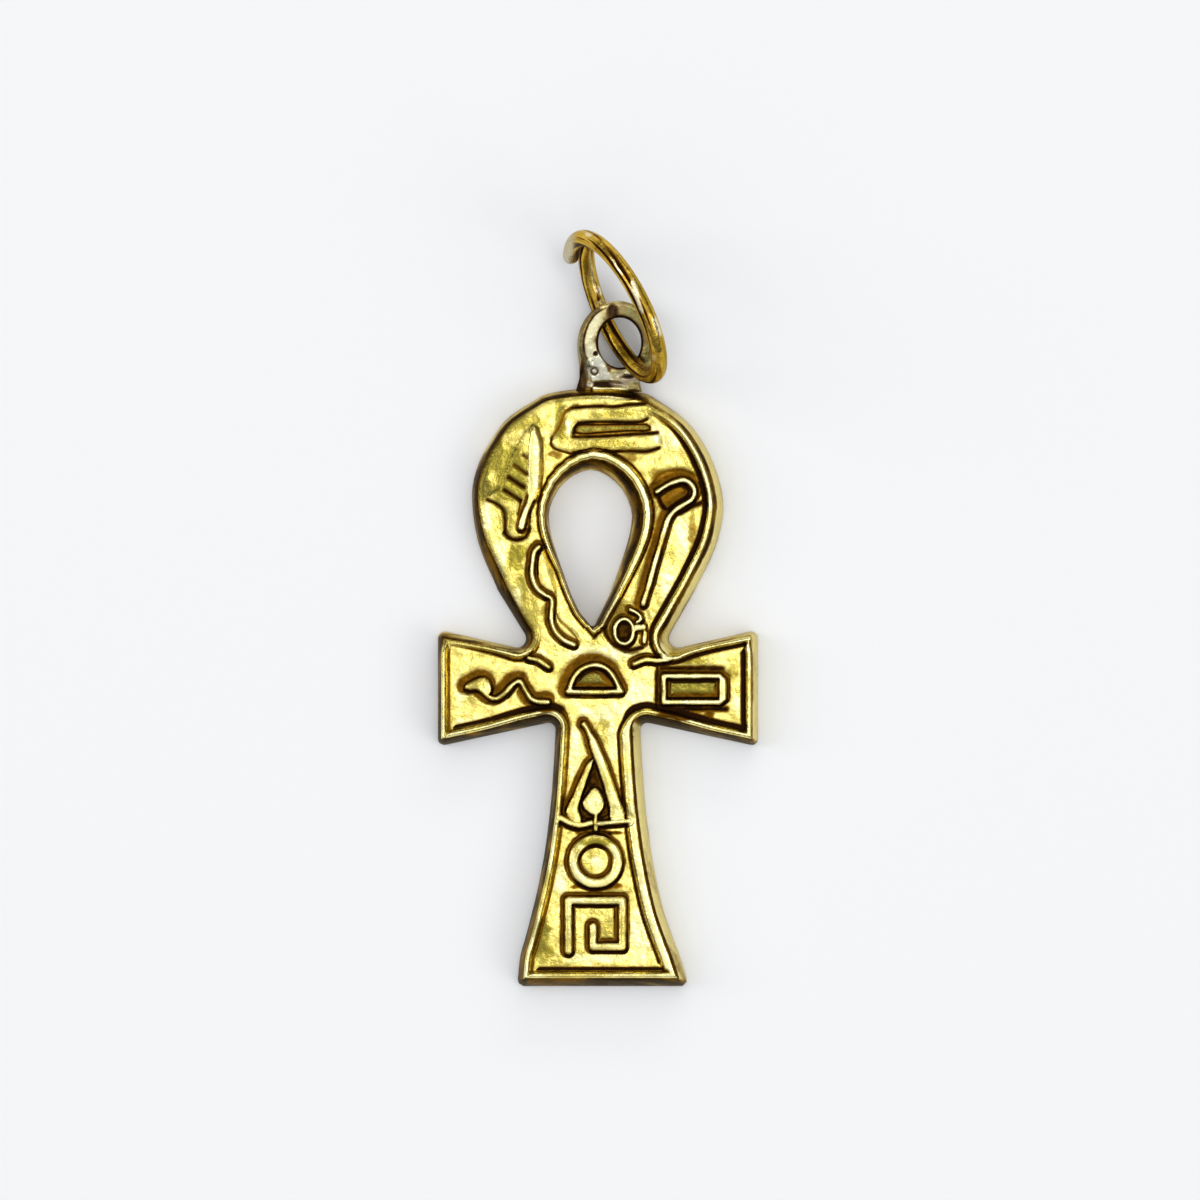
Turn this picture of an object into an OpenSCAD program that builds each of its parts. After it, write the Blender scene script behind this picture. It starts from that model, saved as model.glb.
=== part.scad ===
// Ankh pendant: a cast cross with a teardrop loop, raised signs and a soldered eye, on an open jump ring.
// The flat back lies on z = 0, the face looks up, and the origin is where the arms and the stem cross.

/* [Cross] */
// From the crossing to the top of the loop
loop_top = 15; // [12:0.5:20]
// Full width of the loop where it is widest
loop_w = 12.6; // [11:0.2:16]
// From the crossing to the end of each arm
arm_reach = 8; // [7.4:0.2:11]
// Height of an arm at its end
arm_end_h = 5.85; // [5:0.1:7]
// Height of an arm where it meets the loop and the stem
arm_root_h = 3.3; // [3:0.1:3.8]
// From the crossing to the foot of the stem
stem_len = 14.9; // [13.5:0.5:20]
// Width of the stem under the arms
stem_top_w = 4.2; // [4:0.1:5]
// Width of the stem at its foot
stem_foot_w = 8.6; // [7.6:0.2:10]

/* [Thickness] */
// From the flat back to the top of the rims
thick = 2; // [1.7:0.1:3]
// Depth of the field below the rims
relief = 0.38; // [0.3:0.02:0.5]
// How far the outer walls lean in between the back and the rim
draft = 0.45; // [0.2:0.05:0.6]
// Width of the rim's flat top
rim_w = 0.22; // [0.15:0.01:0.3]
// Width of the slope between a raised top and the field
slope_w = 0.18; // [0.1:0.01:0.22]

/* [Teardrop hole] */
// Width of the hole at the back
hole_w = 4.15; // [3.6:0.05:4.6]
// From the round top of the hole to its pointed foot
hole_l = 7.9; // [7:0.1:8.6]
// From the crossing to the pointed foot of the hole
hole_foot = 3; // [2.9:0.05:3.2]
// How far the hole's middle line stands to the left of the loop's
hole_left = 0.38; // [0:0.02:0.5]

/* [Signs] */
// How high the signs stand above the field
sign_rise = 0.34; // [0.2:0.02:0.42]
// Width of a fine stroke's flat top
stroke_w = 0.28; // [0.2:0.02:0.36]

/* [Eye] */
// Inner width of the eye, across the pendant
eye_in_w = 2.14; // [2.1:0.02:2.4]
// Inner height of the eye, along the pendant
eye_in_h = 2.48; // [2.44:0.02:2.8]
// Width of the eye's metal
eye_band = 0.95; // [0.7:0.05:1]
// Thickness of the eye's metal
eye_thick = 0.74; // [0.6:0.02:0.8]

/* [Jump ring] */
// Outer diameter of the jump ring
ring_od = 8.55; // [8.4:0.05:9.5]
// Thickness of its round wire
wire_d = 0.86; // [0.6:0.02:0.88]
// How far its two ends pass each other, in degrees
ring_lap = 17; // [0:1:24]
// Sideways air between the two ends
end_gap = 0.06; // [0.03:0.01:0.3]

/* [Hidden] */

// Height of the field, and how deep a raised form reaches into the metal under it
field_z = thick - relief;
sunk = 0.2;
// Bevel round the back, smallest corner radius, steps in a corner's arc, and the grid that points are set to
back_edge = 0.12;
min_r = 0.14;
arc_steps = 4;
grid = 0.005;

// Points of a smooth curve through p, with n steps between neighbours
function spline(p, n) = [
    for (i = [0 : len(p) - 2], k = [0 : n - 1])
        let (
            a = p[max(i - 1, 0)], b = p[i], c = p[i + 1], d = p[min(i + 2, len(p) - 1)],
            t = k / n
        )
        0.5 * (2 * b + (c - a) * t + (2 * a - 5 * b + 4 * c - d) * t * t
            + (3 * b - a - 3 * c + d) * t * t * t),
    p[len(p) - 1]
];
function unit(v) = v / norm(v);
function reversed(p) = [for (i = [len(p) - 1 : -1 : 0]) p[i]];
function flat(p) = [for (q = p) snapped([q.x, q.y])];
function snapped(p) = [for (c = p) round(c / grid) * grid];
function edge_normal(a, b) = let (u = unit([b.x - a.x, b.y - a.y])) [-u.y, u.x];

// A closed outline's knots are rows of x, y, corner radius, share of the draft and share of the rim's rise.
// They run anticlockwise. inset() moves each knot inwards by a lean, times its own share, and a fixed step.
function inset(knots, lean, step) = [
    for (i = [0 : len(knots) - 1])
        let (
            k = knots[i],
            before = knots[(i + len(knots) - 1) % len(knots)],
            after = knots[(i + 1) % len(knots)],
            m = edge_normal(before, k), n = edge_normal(k, after),
            move = lean * k[3] + step,
            turn = m.x * n.y - m.y * n.x,
            shift = (m + n) * move / (1 + m * n)
        )
        [k.x + shift.x, k.y + shift.y,
            k[2] == 0 ? 0 : max(k[2] - move * sign(turn), min_r), k[3], k[4]]
];

// The outline's points, with an arc in place of each knot that has a corner radius, as rows of x, y and rim
function rounded(knots) = [
    for (i = [0 : len(knots) - 1])
        let (k = knots[i], p = [k.x, k.y])
        if (k[2] == 0) [k.x, k.y, k[4]]
        else let (
            a = knots[(i + len(knots) - 1) % len(knots)], b = knots[(i + 1) % len(knots)],
            u = unit([a.x, a.y] - p), v = unit([b.x, b.y] - p),
            half = acos(u * v) / 2,
            centre = p + unit(u + v) * k[2] / sin(half),
            from = p + u * k[2] / tan(half) - centre, to = p + v * k[2] / tan(half) - centre,
            span = 180 - 2 * half
        )
        each [
            for (s = [0 : arc_steps])
                let (
                    t = span * s / arc_steps,
                    q = centre + (from * sin(span - t) + to * sin(t)) / sin(span)
                )
                [q.x, q.y, k[4]]
        ]
];

// Loop sides, from the top down: height as a share of loop_top, then the left and the right edge as shares
// of half of loop_w, then the shares of the draft and of the rim's rise on the left and on the right
LOOP = [
    [0.984, 0.370, 0.350, 0.8, 0.15, 0.8, 0.15],
    [0.952, 0.530, 0.500, 0.7, 0.10, 0.8, 0.15],
    [0.900, 0.715, 0.675, 0.6, 0.10, 0.8, 0.20],
    [0.840, 0.825, 0.800, 0.5, 0.10, 0.9, 0.35],
    [0.760, 0.935, 0.905, 0.5, 0.10, 1.1, 0.65],
    [0.680, 0.992, 0.970, 0.5, 0.15, 1.3, 0.90],
    [0.600, 0.995, 0.995, 0.5, 0.20, 1.4, 1.00],
    [0.520, 0.968, 0.968, 0.5, 0.30, 1.3, 1.00],
    [0.440, 0.913, 0.905, 0.5, 0.45, 1.1, 1.00],
    [0.320, 0.786, 0.762, 0.5, 0.60, 1.0, 1.00]
];
function loop_side(mirror_x, edge, lean, rim) = [
    for (r = LOOP) [mirror_x * r[edge] * loop_w / 2, r[0] * loop_top, 0, r[lean], r[rim]]
];

// Stem sides, from the arms down: depth as a share of stem_len, then the flare as a share of its growth
STEM = [[0.20, 0.03], [0.34, 0.09], [0.48, 0.19], [0.62, 0.34], [0.76, 0.56], [0.90, 0.86]];
stem_lean = 1;
// How far the foot spreads more to the right than to the left
foot_right = 0.26;
// How late down the stem that spread starts, as a power of the flare
foot_late = 6;
function stem_half(flare) = (stem_top_w + (stem_foot_w - stem_top_w) * flare) / 2;
function stem_edge(mirror_x, flare) = mirror_x * stem_half(flare) + foot_right * pow(flare, foot_late);
function stem_side(mirror_x) = [
    for (r = STEM) [stem_edge(mirror_x, r[1]), -r[0] * stem_len, 0, stem_lean, 1]
];

// Corners of the arms: the sides of the loop run straight on to the arms' top edges
arm_rise = (arm_end_h - arm_root_h) / 2;
arm_top_y = arm_root_h / 2;
loop_root = loop_w * 0.246;
crotch_y = arm_top_y + arm_rise * 0.12;
outline = concat(
    spline(concat(reversed(loop_side(1, 2, 5, 6)), [[0, loop_top, 0, 0.8, 0.15]], loop_side(-1, 1, 3, 4)), 3),
    [
        [-loop_root, crotch_y, 0.45, 0.5, 0.7],
        [-arm_reach, arm_end_h / 2, 0.35, 0.5, 1],
        [-arm_reach, -arm_end_h / 2, 0.3, 0.6, 1],
        [-stem_half(0), -arm_top_y, 0.35, 1, 1]
    ],
    spline(stem_side(-1), 2),
    [[stem_edge(-1, 1), -stem_len, 0.3, 1, 1], [stem_edge(1, 1), -stem_len, 0.3, 1, 1]],
    reversed(spline(stem_side(1), 2)),
    [
        [stem_half(0), -arm_top_y, 0.35, 1, 1],
        [arm_reach, -arm_end_h / 2, 0.3, 0.6, 1],
        [arm_reach, arm_end_h / 2, 0.35, 0.6, 1],
        [loop_root, crotch_y, 0.45, 0.8, 1]
    ]
);

// Teardrop hole, from its top down: depth as a share of hole_l and half its width as a share of hole_w.
// It runs clockwise, so that inset() moves it outwards.
DROP = [
    [0.035, 0.20], [0.12, 0.38], [0.24, 0.485], [0.34, 0.495], [0.47, 0.44],
    [0.62, 0.345], [0.78, 0.235], [0.90, 0.125]
];
// The pointed foot stands less far to the left than the rest of the hole
tip_share = 0.65;
function drop_side(mirror_x) = [
    for (r = DROP) [mirror_x * r[1] * hole_w - hole_left, hole_foot + hole_l * (1 - r[0]), 0, 1, 1]
];
hole = concat(
    spline(concat(reversed(drop_side(-1)), [[-hole_left, hole_foot + hole_l, 0, 1, 1]], drop_side(1)), 2),
    [[-hole_left * tip_share, hole_foot, 0.1, 1, 1]]
);

// A ring of metal that stands on an outline: its rows give the inset as a share of the draft, a fixed inset,
// and a height, to which the rim's own share of the last column is added at each point
module rimmed(knots, section) {
    rings = [
        for (s = section) [
            for (p = rounded(inset(knots, s[0] * draft, s[1]))) [p[0], p[1], s[2] + p[2] * s[3]]
        ]
    ];
    n = len(rings[0]);
    m = len(section);
    polyhedron(
        points = [for (r = rings, p = r) snapped(p)],
        faces = [
            for (j = [0 : m - 1], i = [0 : n - 1])
                let (
                    a = j * n + i, b = j * n + (i + 1) % n,
                    c = ((j + 1) % m) * n + (i + 1) % n, d = ((j + 1) % m) * n + i
                )
                each [[a, d, b], [b, d, c]]
        ]
    );
}

rim_foot = rim_w + slope_w * (1 + sunk / relief);
rim_section = [
    [0, back_edge * 2, -back_edge, 0],
    [0, 0, back_edge, 0],
    [0.35, 0, field_z * 0.75, 0],
    [1, 0, field_z, relief],
    [1, rim_w, field_z, relief],
    [1, rim_foot, field_z - sunk, 0],
    [1, rim_foot, -back_edge, 0]
];
bead_lean = 0.7;
bead_section = [
    [0, 0, -back_edge, 0],
    [0.1, 0, field_z * 0.6, 0],
    [bead_lean, 0, field_z, relief],
    [bead_lean, rim_w, field_z, relief],
    [bead_lean, rim_foot, field_z - sunk, 0],
    [bead_lean, rim_foot, -back_edge, 0]
];

module plate() {
    outer = flat(rounded(inset(outline, draft, rim_w)));
    inner = flat(rounded(inset(hole, bead_lean * draft, rim_w)));
    translate([0, 0, -back_edge])
        linear_extrude(field_z + back_edge)
            difference() {
                polygon(outer);
                polygon(inner);
            }
}

// A raised stroke along a path, with a flat top, sloping flanks and mitred corners; closed joins its ends
module stroke(path, w = stroke_w, rise = sign_rise, closed = false) {
    n = len(path);
    wide = w / 2 + slope_w;
    stations = [
        for (i = [0 : n - 1])
            let (
                first = !closed && i == 0, last = !closed && i == n - 1,
                before = path[(i + n - 1) % n], after = path[(i + 1) % n],
                a = first ? edge_normal(path[i], after) : edge_normal(before, path[i]),
                b = last ? a : edge_normal(path[i], after),
                side = (a + b) / (1 + a * b),
                end = [side.y, -side.x] * (first ? -slope_w : last ? slope_w : 0)
            )
            [
                [each path[i] + end + side * wide, field_z - sunk],
                [each path[i] + side * w / 2, field_z + rise],
                [each path[i] - side * w / 2, field_z + rise],
                [each path[i] + end - side * wide, field_z - sunk]
            ]
    ];
    e = 4 * n - 4;
    polyhedron(
        points = [for (s = stations, p = s) snapped(p)],
        faces = concat(
            [
                for (i = [0 : n - (closed ? 1 : 2)], j = [0 : 3])
                    let (
                        a = 4 * i + j, b = 4 * i + (j + 1) % 4,
                        c = 4 * ((i + 1) % n) + (j + 1) % 4, d = 4 * ((i + 1) % n) + j
                    )
                    each [[a, c, b], [a, d, c]]
            ],
            closed ? [] : [[0, 2, 3], [0, 1, 2], [e, e + 2, e + 1], [e, e + 3, e + 2]]
        )
    );
}

// A raised boss with sloping flanks, stretched between two points
module boss(p, q, w, rise) {
    hull()
        for (c = [p, q])
            translate([c.x, c.y, field_z - sunk])
                cylinder(r1 = w / 2 + slope_w, r2 = w / 2, h = rise + sunk, $fn = 10);
}

// Places on the loop, the arms and the stem, as shares of their named sizes
function on_loop(p) = [for (q = p) [q[0] * loop_w / 2, q[1] * loop_top]];
function on_arm(p) = [for (q = p) [q[0] * arm_reach, q[1] * arm_end_h / 2]];
function on_stem(p) = [for (q = p) [q[0] * stem_top_w / 2, -q[1] * stem_len]];

bar_w = stroke_w * 1.7;

// Bracket over the hole: two bars joined at the left
BRACKET = [[0.36, 0.915], [-0.21, 0.908], [-0.20, 0.812], [0.45, 0.814]];
module bracket() stroke(on_loop(BRACKET), bar_w, sign_rise * 0.8);

// Feather: a spine, a vane whose barbs are parted by grooves, and a short quill
SPINE = [[-0.50, 0.845], [-0.515, 0.725], [-0.55, 0.63], [-0.585, 0.57]];
VANE = [[-0.60, 0.825], [-0.73, 0.72], [-0.80, 0.655], [-0.74, 0.60], [-0.66, 0.585], [-0.55, 0.66],
    [-0.52, 0.80]];
BARBS = [[-0.60, 0.775, -0.55, 0.757], [-0.67, 0.742, -0.57, 0.71], [-0.715, 0.702, -0.585, 0.668],
    [-0.755, 0.66, -0.59, 0.62]];
QUILL = [[-0.62, 0.575], [-0.615, 0.53]];
barb_w = stroke_w * 0.45;
module feather() {
    difference() {
        translate([0, 0, field_z - sunk])
            linear_extrude(sunk + sign_rise * 0.5)
                polygon(on_loop(VANE));
        for (b = BARBS)
            hull()
                for (q = on_loop([[b[0], b[1]], [b[2], b[3]]]))
                    translate([q.x, q.y, field_z + barb_w / 2])
                        cylinder(d1 = barb_w, d2 = 2 * barb_w, h = sign_rise, $fn = 8);
    }
    stroke(on_loop(spline(SPINE, 2)), stroke_w * 1.4);
    quill = on_loop(QUILL);
    boss(quill[0], quill[1], bar_w, sign_rise * 0.9);
}

// Flame on the loop's left flank: a wick that bends twice
FLAME = [[-0.465, 0.463], [-0.505, 0.405], [-0.475, 0.34], [-0.40, 0.303], [-0.365, 0.25], [-0.315, 0.232],
    [-0.20, 0.198]];
module flame() stroke(on_loop(spline(FLAME, 3)));

// Crook on the loop's right flank: a hooked head over a long staff
CROOK = [[0.45, 0.657], [0.60, 0.685], [0.72, 0.675], [0.76, 0.638], [0.67, 0.605], [0.575, 0.565],
    [0.51, 0.475], [0.445, 0.387], [0.365, 0.277]];
module crook() stroke(on_loop(spline(CROOK, 3)));

// Vessel under the crook: an open oval bowl below a shoulder and a short hook
BOWL = [0.205, 0.188, 0.072, 0.039];
SHOULDER = [[0.13, 0.262], [0.27, 0.255]];
HOOK = [[0.22, 0.272], [0.335, 0.252], [0.345, 0.218]];
bowl_steps = 14;
module vessel() {
    stroke(
        on_loop([
            for (k = [1 : bowl_steps])
                let (t = 360 * k / bowl_steps)
                [BOWL[0] + BOWL[2] * cos(t), BOWL[1] + BOWL[3] * sin(t)]
        ]),
        stroke_w * 0.7, closed = true
    );
    p = on_loop(SHOULDER);
    boss(p[0], p[1], bar_w, sign_rise * 0.6);
    for (i = [0, 1])
        boss(on_loop(HOOK)[i], on_loop(HOOK)[i + 1], stroke_w * 0.6, sign_rise * (0.86 + 0.04 * i));
}

// Loaf at the crossing: an arch on a straight base
ARCH = [[-0.165, 0.13], [-0.12, 0.27], [0, 0.385], [0.09, 0.27], [0.125, -0.04]];
LOAF_BASE = [[-0.19, -0.055], [0.145, -0.04]];
module loaf() {
    stroke(on_arm(spline(ARCH, 3)));
    stroke(on_arm(LOAF_BASE), stroke_w, sign_rise * 0.94);
}

// Pool on the right arm: a long frame with an empty middle, and the step that stands before it
POOL = [[0.415, -0.25], [0.79, -0.25], [0.79, 0.145], [0.415, 0.145]];
STEP = [[0.365, 0.36], [0.365, -0.40]];
module pool() {
    stroke(on_arm(POOL), closed = true);
    stroke(on_arm(STEP), stroke_w * 0.5, sign_rise * 0.5);
}

// Serpent on the left arm: a thick head and a body in one long wave
SERPENT = [[-0.79, 0.05], [-0.715, -0.03], [-0.635, -0.17], [-0.555, -0.145], [-0.478, 0.09], [-0.425, -0.08],
    [-0.37, -0.215], [-0.30, -0.235]];
SERPENT_HEAD = [[-0.80, 0.06], [-0.71, 0.08]];
module serpent() {
    stroke(on_arm(spline(SERPENT, 3)));
    head = on_arm(SERPENT_HEAD);
    boss(head[0], head[1], stroke_w * 1.3, sign_rise * 1.06);
}

// Tent at the top of the stem: two long legs on a curved ground line, with a drop between them
TENT = [[-0.28, 0.125], [-0.13, 0.22], [0.12, 0.30], [0.32, 0.40], [0.46, 0.445]];
TENT_LEFT = [[-0.13, 0.22], [-0.38, 0.33], [-0.68, 0.425]];
TENT_DROP = [[-0.06, 0.39], [-0.06, 0.355]];
GROUND = [[-0.86, 0.438], [-0.60, 0.452], [-0.10, 0.452], [0.70, 0.452]];
module tent() {
    stroke(on_stem(spline(TENT, 2)));
    stroke(on_stem(spline(TENT_LEFT, 2)), stroke_w, sign_rise * 0.94);
    stroke(on_stem(spline(GROUND, 2)), stroke_w, sign_rise * 0.88);
    drop = on_stem(TENT_DROP);
    boss(drop[0], drop[0], stroke_w * 2.4, sign_rise * 0.97);
    boss(drop[0], drop[1], stroke_w * 0.8, sign_rise * 0.9);
}

// Ring sign in the middle of the stem
disc_r = stem_top_w * 0.315;
disc_in_r = stem_top_w * 0.17;
disc_x = -stem_top_w * 0.035;
disc_y = -stem_len * 0.584;
disc_steps = 24;
module disc() {
    r = (disc_r + disc_in_r) / 2;
    stroke(
        [
            for (k = [1 : disc_steps])
                let (t = 360 * k / disc_steps)
                [r * cos(t) + disc_x, r * sin(t) + disc_y]
        ],
        disc_r - disc_in_r - slope_w, closed = true
    );
}

// Shelter at the foot of the stem: a line that winds in on itself with square corners
SHELTER = [[-0.67, 0.885], [-0.67, 0.718], [0.57, 0.718], [0.57, 0.862], [-0.12, 0.862], [-0.12, 0.79]];
module shelter() stroke(on_stem(SHELTER), bar_w * 0.8);

// Eye: a closed band, oval across, that is soldered to the top of the loop by a flared foot
eye_neck = 1.01;
eye_x = loop_w * 0.086;
eye_y = loop_top + eye_in_h / 2 + eye_neck;
eye_mid_z = 0.64 * thick;
eye_tilt = 12;
function eye_z(y) = eye_mid_z + (y - eye_y) * tan(eye_tilt);
// How much thinner its band is at the top and on the right
eye_top_thin = 0.12;
eye_right_thin = 0.1;
eye_steps = 28;
eye_sides = 10;
eye_sink = 0.35;
function eye_point(t, u) = let (
        w = eye_band * (1 - eye_top_thin * sin(t) - eye_right_thin * cos(t)) / 2, out = w + w * cos(u),
        y = eye_y + (eye_in_h / 2 + out) * sin(t)
    )
    [eye_x + (eye_in_w / 2 + out) * cos(t), y, eye_z(y) + eye_thick / 2 * sin(u)];
module eye() {
    polyhedron(
        points = [for (i = [0 : eye_steps - 1], j = [0 : eye_sides - 1])
            snapped(eye_point(360 * i / eye_steps, 360 * j / eye_sides))],
        faces = [
            for (i = [0 : eye_steps - 1], j = [0 : eye_sides - 1])
                let (
                    k = (i + 1) % eye_steps, l = (j + 1) % eye_sides,
                    a = i * eye_sides + j, b = i * eye_sides + l,
                    c = k * eye_sides + l, d = k * eye_sides + j
                )
                each [[a, b, c], [a, c, d]]
        ]
    );
    left = [eye_x - eye_in_w * 0.86, loop_top - eye_sink];
    right = [eye_x + eye_in_w * 0.3, loop_top - eye_sink];
    under = eye_y - eye_in_h / 2 - eye_band * 0.5;
    hull() {
        blob([eye_x - (eye_in_w + eye_band) / 2, eye_y - eye_in_h * 0.2], 1);
        blob(left, 1.08);
    }
    hull() {
        blob(left, 1.04);
        blob(right, 1.04);
        blob([eye_x - eye_in_w * 0.3, under], 0.9);
        blob([eye_x + eye_in_w * 0.12, under], 0.8);
    }
}
module blob(p, share) translate([p.x, p.y, eye_z(p.y)]) sphere(d = eye_thick * share, $fn = 12);

cut_side = 2 * (arm_reach + stem_len + loop_top);
module ankh() {
    color("goldenrod")
        difference() {
            union() {
                rimmed(outline, rim_section);
                rimmed(hole, bead_section);
                plate();
                bracket();
                feather();
                flame();
                crook();
                vessel();
                loaf();
                pool();
                serpent();
                tent();
                disc();
                shelter();
                eye();
            }
            translate([-cut_side / 2, -cut_side / 2, -cut_side])
                cube(cut_side);
        }
}

// Jump ring: round wire bent into one open turn that stands in the eye, with its ends side by side.
// It leans by ring_lean from upright, and ring_turn is where its far end points as seen from above.
ring_turn = 116;
ring_lean = 18;
// Height of its lowest point over the surface, because it rests on the foot side of the eye
ring_foot = 0.24;
// How far under its far end the two cut ends meet, in degrees
ring_join = 25.5;
// How far the strand in the eye stands past the eye's middle, and to its side, as shares of the wire
ring_past = 1.13;
ring_aside = 0.44;
ring_steps = 54;
ring_sides = 12;
ring_r = (ring_od - wire_d) / 2;
ring_hold = eye_in_h / 2 + wire_d * ring_past;
end_shift = wire_d + end_gap;
ring_far = [cos(ring_turn), sin(ring_turn), 0];
ring_side = [sin(ring_turn), -cos(ring_turn), 0];
ring_up = [0, 0, cos(ring_lean)] + ring_side * sin(ring_lean);
ring_normal = cross(ring_up, ring_far);
ring_arc = 360 + ring_lap;
// Its lower strand runs through the eye, and its upper strand crosses to the left at the far end.
// level_share is the share of its length at which it stands in its own middle plane, at the eye.
level_share = 0.5 + ring_join / ring_arc;
ring_mid = [eye_x, eye_y, ring_foot + ring_r * cos(ring_lean) + wire_d / 2 + ring_normal.z * end_shift / 4]
    + ring_far * (ring_r - ring_hold) + ring_side * (ring_r * sin(ring_lean) - wire_d * ring_aside);
function wire_angle(s) = ring_arc * s - ring_lap / 2 - ring_join;
function wire_centre(s) = let (t = wire_angle(s))
    ring_mid + ring_r * (ring_far * cos(t) + ring_up * sin(t)) + ring_normal * end_shift * (level_share - s);
function wire_point(s, u) = let (t = wire_angle(s), out = ring_far * cos(t) + ring_up * sin(t))
    wire_centre(s) + wire_d / 2 * (out * cos(u) + ring_normal * sin(u));
module jump_ring() {
    last = ring_steps * ring_sides;
    color("darkgoldenrod")
        polyhedron(
            points = [
                for (i = [0 : ring_steps], j = [0 : ring_sides - 1])
                    wire_point(i / ring_steps, 360 * j / ring_sides),
                wire_centre(0), wire_centre(1)
            ],
            faces = concat(
                [
                    for (i = [0 : ring_steps - 1], j = [0 : ring_sides - 1])
                        let (
                            l = (j + 1) % ring_sides,
                            a = i * ring_sides + j, b = i * ring_sides + l,
                            c = (i + 1) * ring_sides + l, d = (i + 1) * ring_sides + j
                        )
                        each [[a, c, b], [a, d, c]]
                ],
                [
                    for (j = [0 : ring_sides - 1])
                        let (l = (j + 1) % ring_sides)
                        each [
                            [last + ring_sides, j, l],
                            [last + ring_sides + 1, last + l, last + j]
                        ]
                ]
            )
        );
}

ankh();
jump_ring();
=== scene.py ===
"""The ankh pendant and its jump ring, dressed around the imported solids."""
import math
from types import SimpleNamespace

import bmesh
import bpy
import numpy as np
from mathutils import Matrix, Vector


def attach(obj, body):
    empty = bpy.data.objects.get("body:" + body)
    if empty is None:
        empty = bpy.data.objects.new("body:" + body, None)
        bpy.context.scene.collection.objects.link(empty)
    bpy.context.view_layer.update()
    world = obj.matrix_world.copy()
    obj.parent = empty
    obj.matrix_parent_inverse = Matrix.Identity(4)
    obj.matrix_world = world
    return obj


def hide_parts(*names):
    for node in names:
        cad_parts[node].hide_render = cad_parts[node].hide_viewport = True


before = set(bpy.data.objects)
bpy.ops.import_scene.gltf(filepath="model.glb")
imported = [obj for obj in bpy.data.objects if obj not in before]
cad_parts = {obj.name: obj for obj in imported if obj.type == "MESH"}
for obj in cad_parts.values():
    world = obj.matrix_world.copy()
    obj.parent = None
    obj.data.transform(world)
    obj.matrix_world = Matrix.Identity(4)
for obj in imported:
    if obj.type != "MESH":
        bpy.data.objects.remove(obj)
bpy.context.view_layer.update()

# Sizes are in millimetres, as in the part's source, and points in the photograph's pixels are named _PX
MM = 0.001
PX_PER_MM = 20
PX = 1 / PX_PER_MM
ORIGIN_PX = (598, 688)
FRAME_PX = 1200

# Height of the field over the flat back, of the rim over the field, and of the bevel round the back
FIELD_Z = 1.62
RIM_RISE = 0.36
BACK_EDGE = 0.12
# Width of a square of the net over the face
GRID = 0.056
SEED = 7
# Share of the way from the hole to the bead's crest that its wall takes up
WALL_SHARE = 0.55
# Distances over this much are all the same to the shapes below
REACH = 1.3
# A stretch of a closed line that is longer than this stays straight
LONG_RUN = 1.6
# The random values repeat after this many cells
NOISE_CELLS = 64

# Jump ring, with the same values as the part's source
RING_OD = 8.55
WIRE_D = 0.86
RING_LAP = 17
END_GAP = 0.06
RING_TURN = 116
RING_LEAN = 18
RING_FOOT = 0.24
RING_JOIN = 25.5
RING_PAST = 1.13
RING_ASIDE = 0.44

# Eye, with the same values as the part's source
EYE_IN_W = 2.14
EYE_IN_H = 2.48
EYE_BAND = 0.95
EYE_THICK = 0.74
EYE_TILT = 12
EYE_MID_Z = 1.28
EYE_TOP_THIN = 0.12
EYE_RIGHT_THIN = 0.1
EYE_NECK = 1.01
LOOP_TOP = 15
LOOP_W = 12.6
EYE_X = LOOP_W * 0.086
EYE_Y = LOOP_TOP + EYE_IN_H / 2 + EYE_NECK


def mm(points):
    """Points of the photograph's pixels, in millimetres of the part's frame."""
    p = np.array(points, float)
    return (p - ORIGIN_PX) * (1, -1) / PX_PER_MM


def smooth(lo, hi, x):
    """0 below lo, 1 above hi, and a soft step between them."""
    t = np.clip((x - lo) / (hi - lo), 0, 1)
    return t * t * (3 - 2 * t)


def oval(cx, cy, rx, ry, count):
    """Points round an oval."""
    turns = np.linspace(0, 2 * math.pi, count)[:-1]
    return [(cx + rx * math.cos(t), cy + ry * math.sin(t)) for t in turns]


def spline(points, step, closed=False):
    """A curve through the points, in steps of about this length."""
    p = np.asarray(points, float)
    n = len(p)
    out = []
    tangent = []
    for i in range(n):
        here = p[i]
        before = p[i - 1] if closed or i else here
        after = p[(i + 1) % n] if closed or i < n - 1 else here
        a, b = here - before, after - here
        la, lb = np.linalg.norm(a), np.linalg.norm(b)
        if closed and la > LONG_RUN and la > lb:
            t = a / la
        elif closed and lb > LONG_RUN:
            t = b / lb
        else:
            t = (after - before) / max(np.linalg.norm(after - before), 1e-9)
        tangent.append(t)
    for i in range(n if closed else n - 1):
        a, b = p[i], p[(i + 1) % n]
        size = np.linalg.norm(b - a)
        ta, tb = tangent[i] * size, tangent[(i + 1) % n] * size
        for t in np.arange(0, 1, 1 / max(1, math.ceil(size / step))):
            out.append(
                (2 * t**3 - 3 * t**2 + 1) * a + (t**3 - 2 * t**2 + t) * ta
                + (3 * t**2 - 2 * t**3) * b + (t**3 - t**2) * tb
            )
    if not closed:
        out.append(p[-1])
    return np.array(out)


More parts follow.
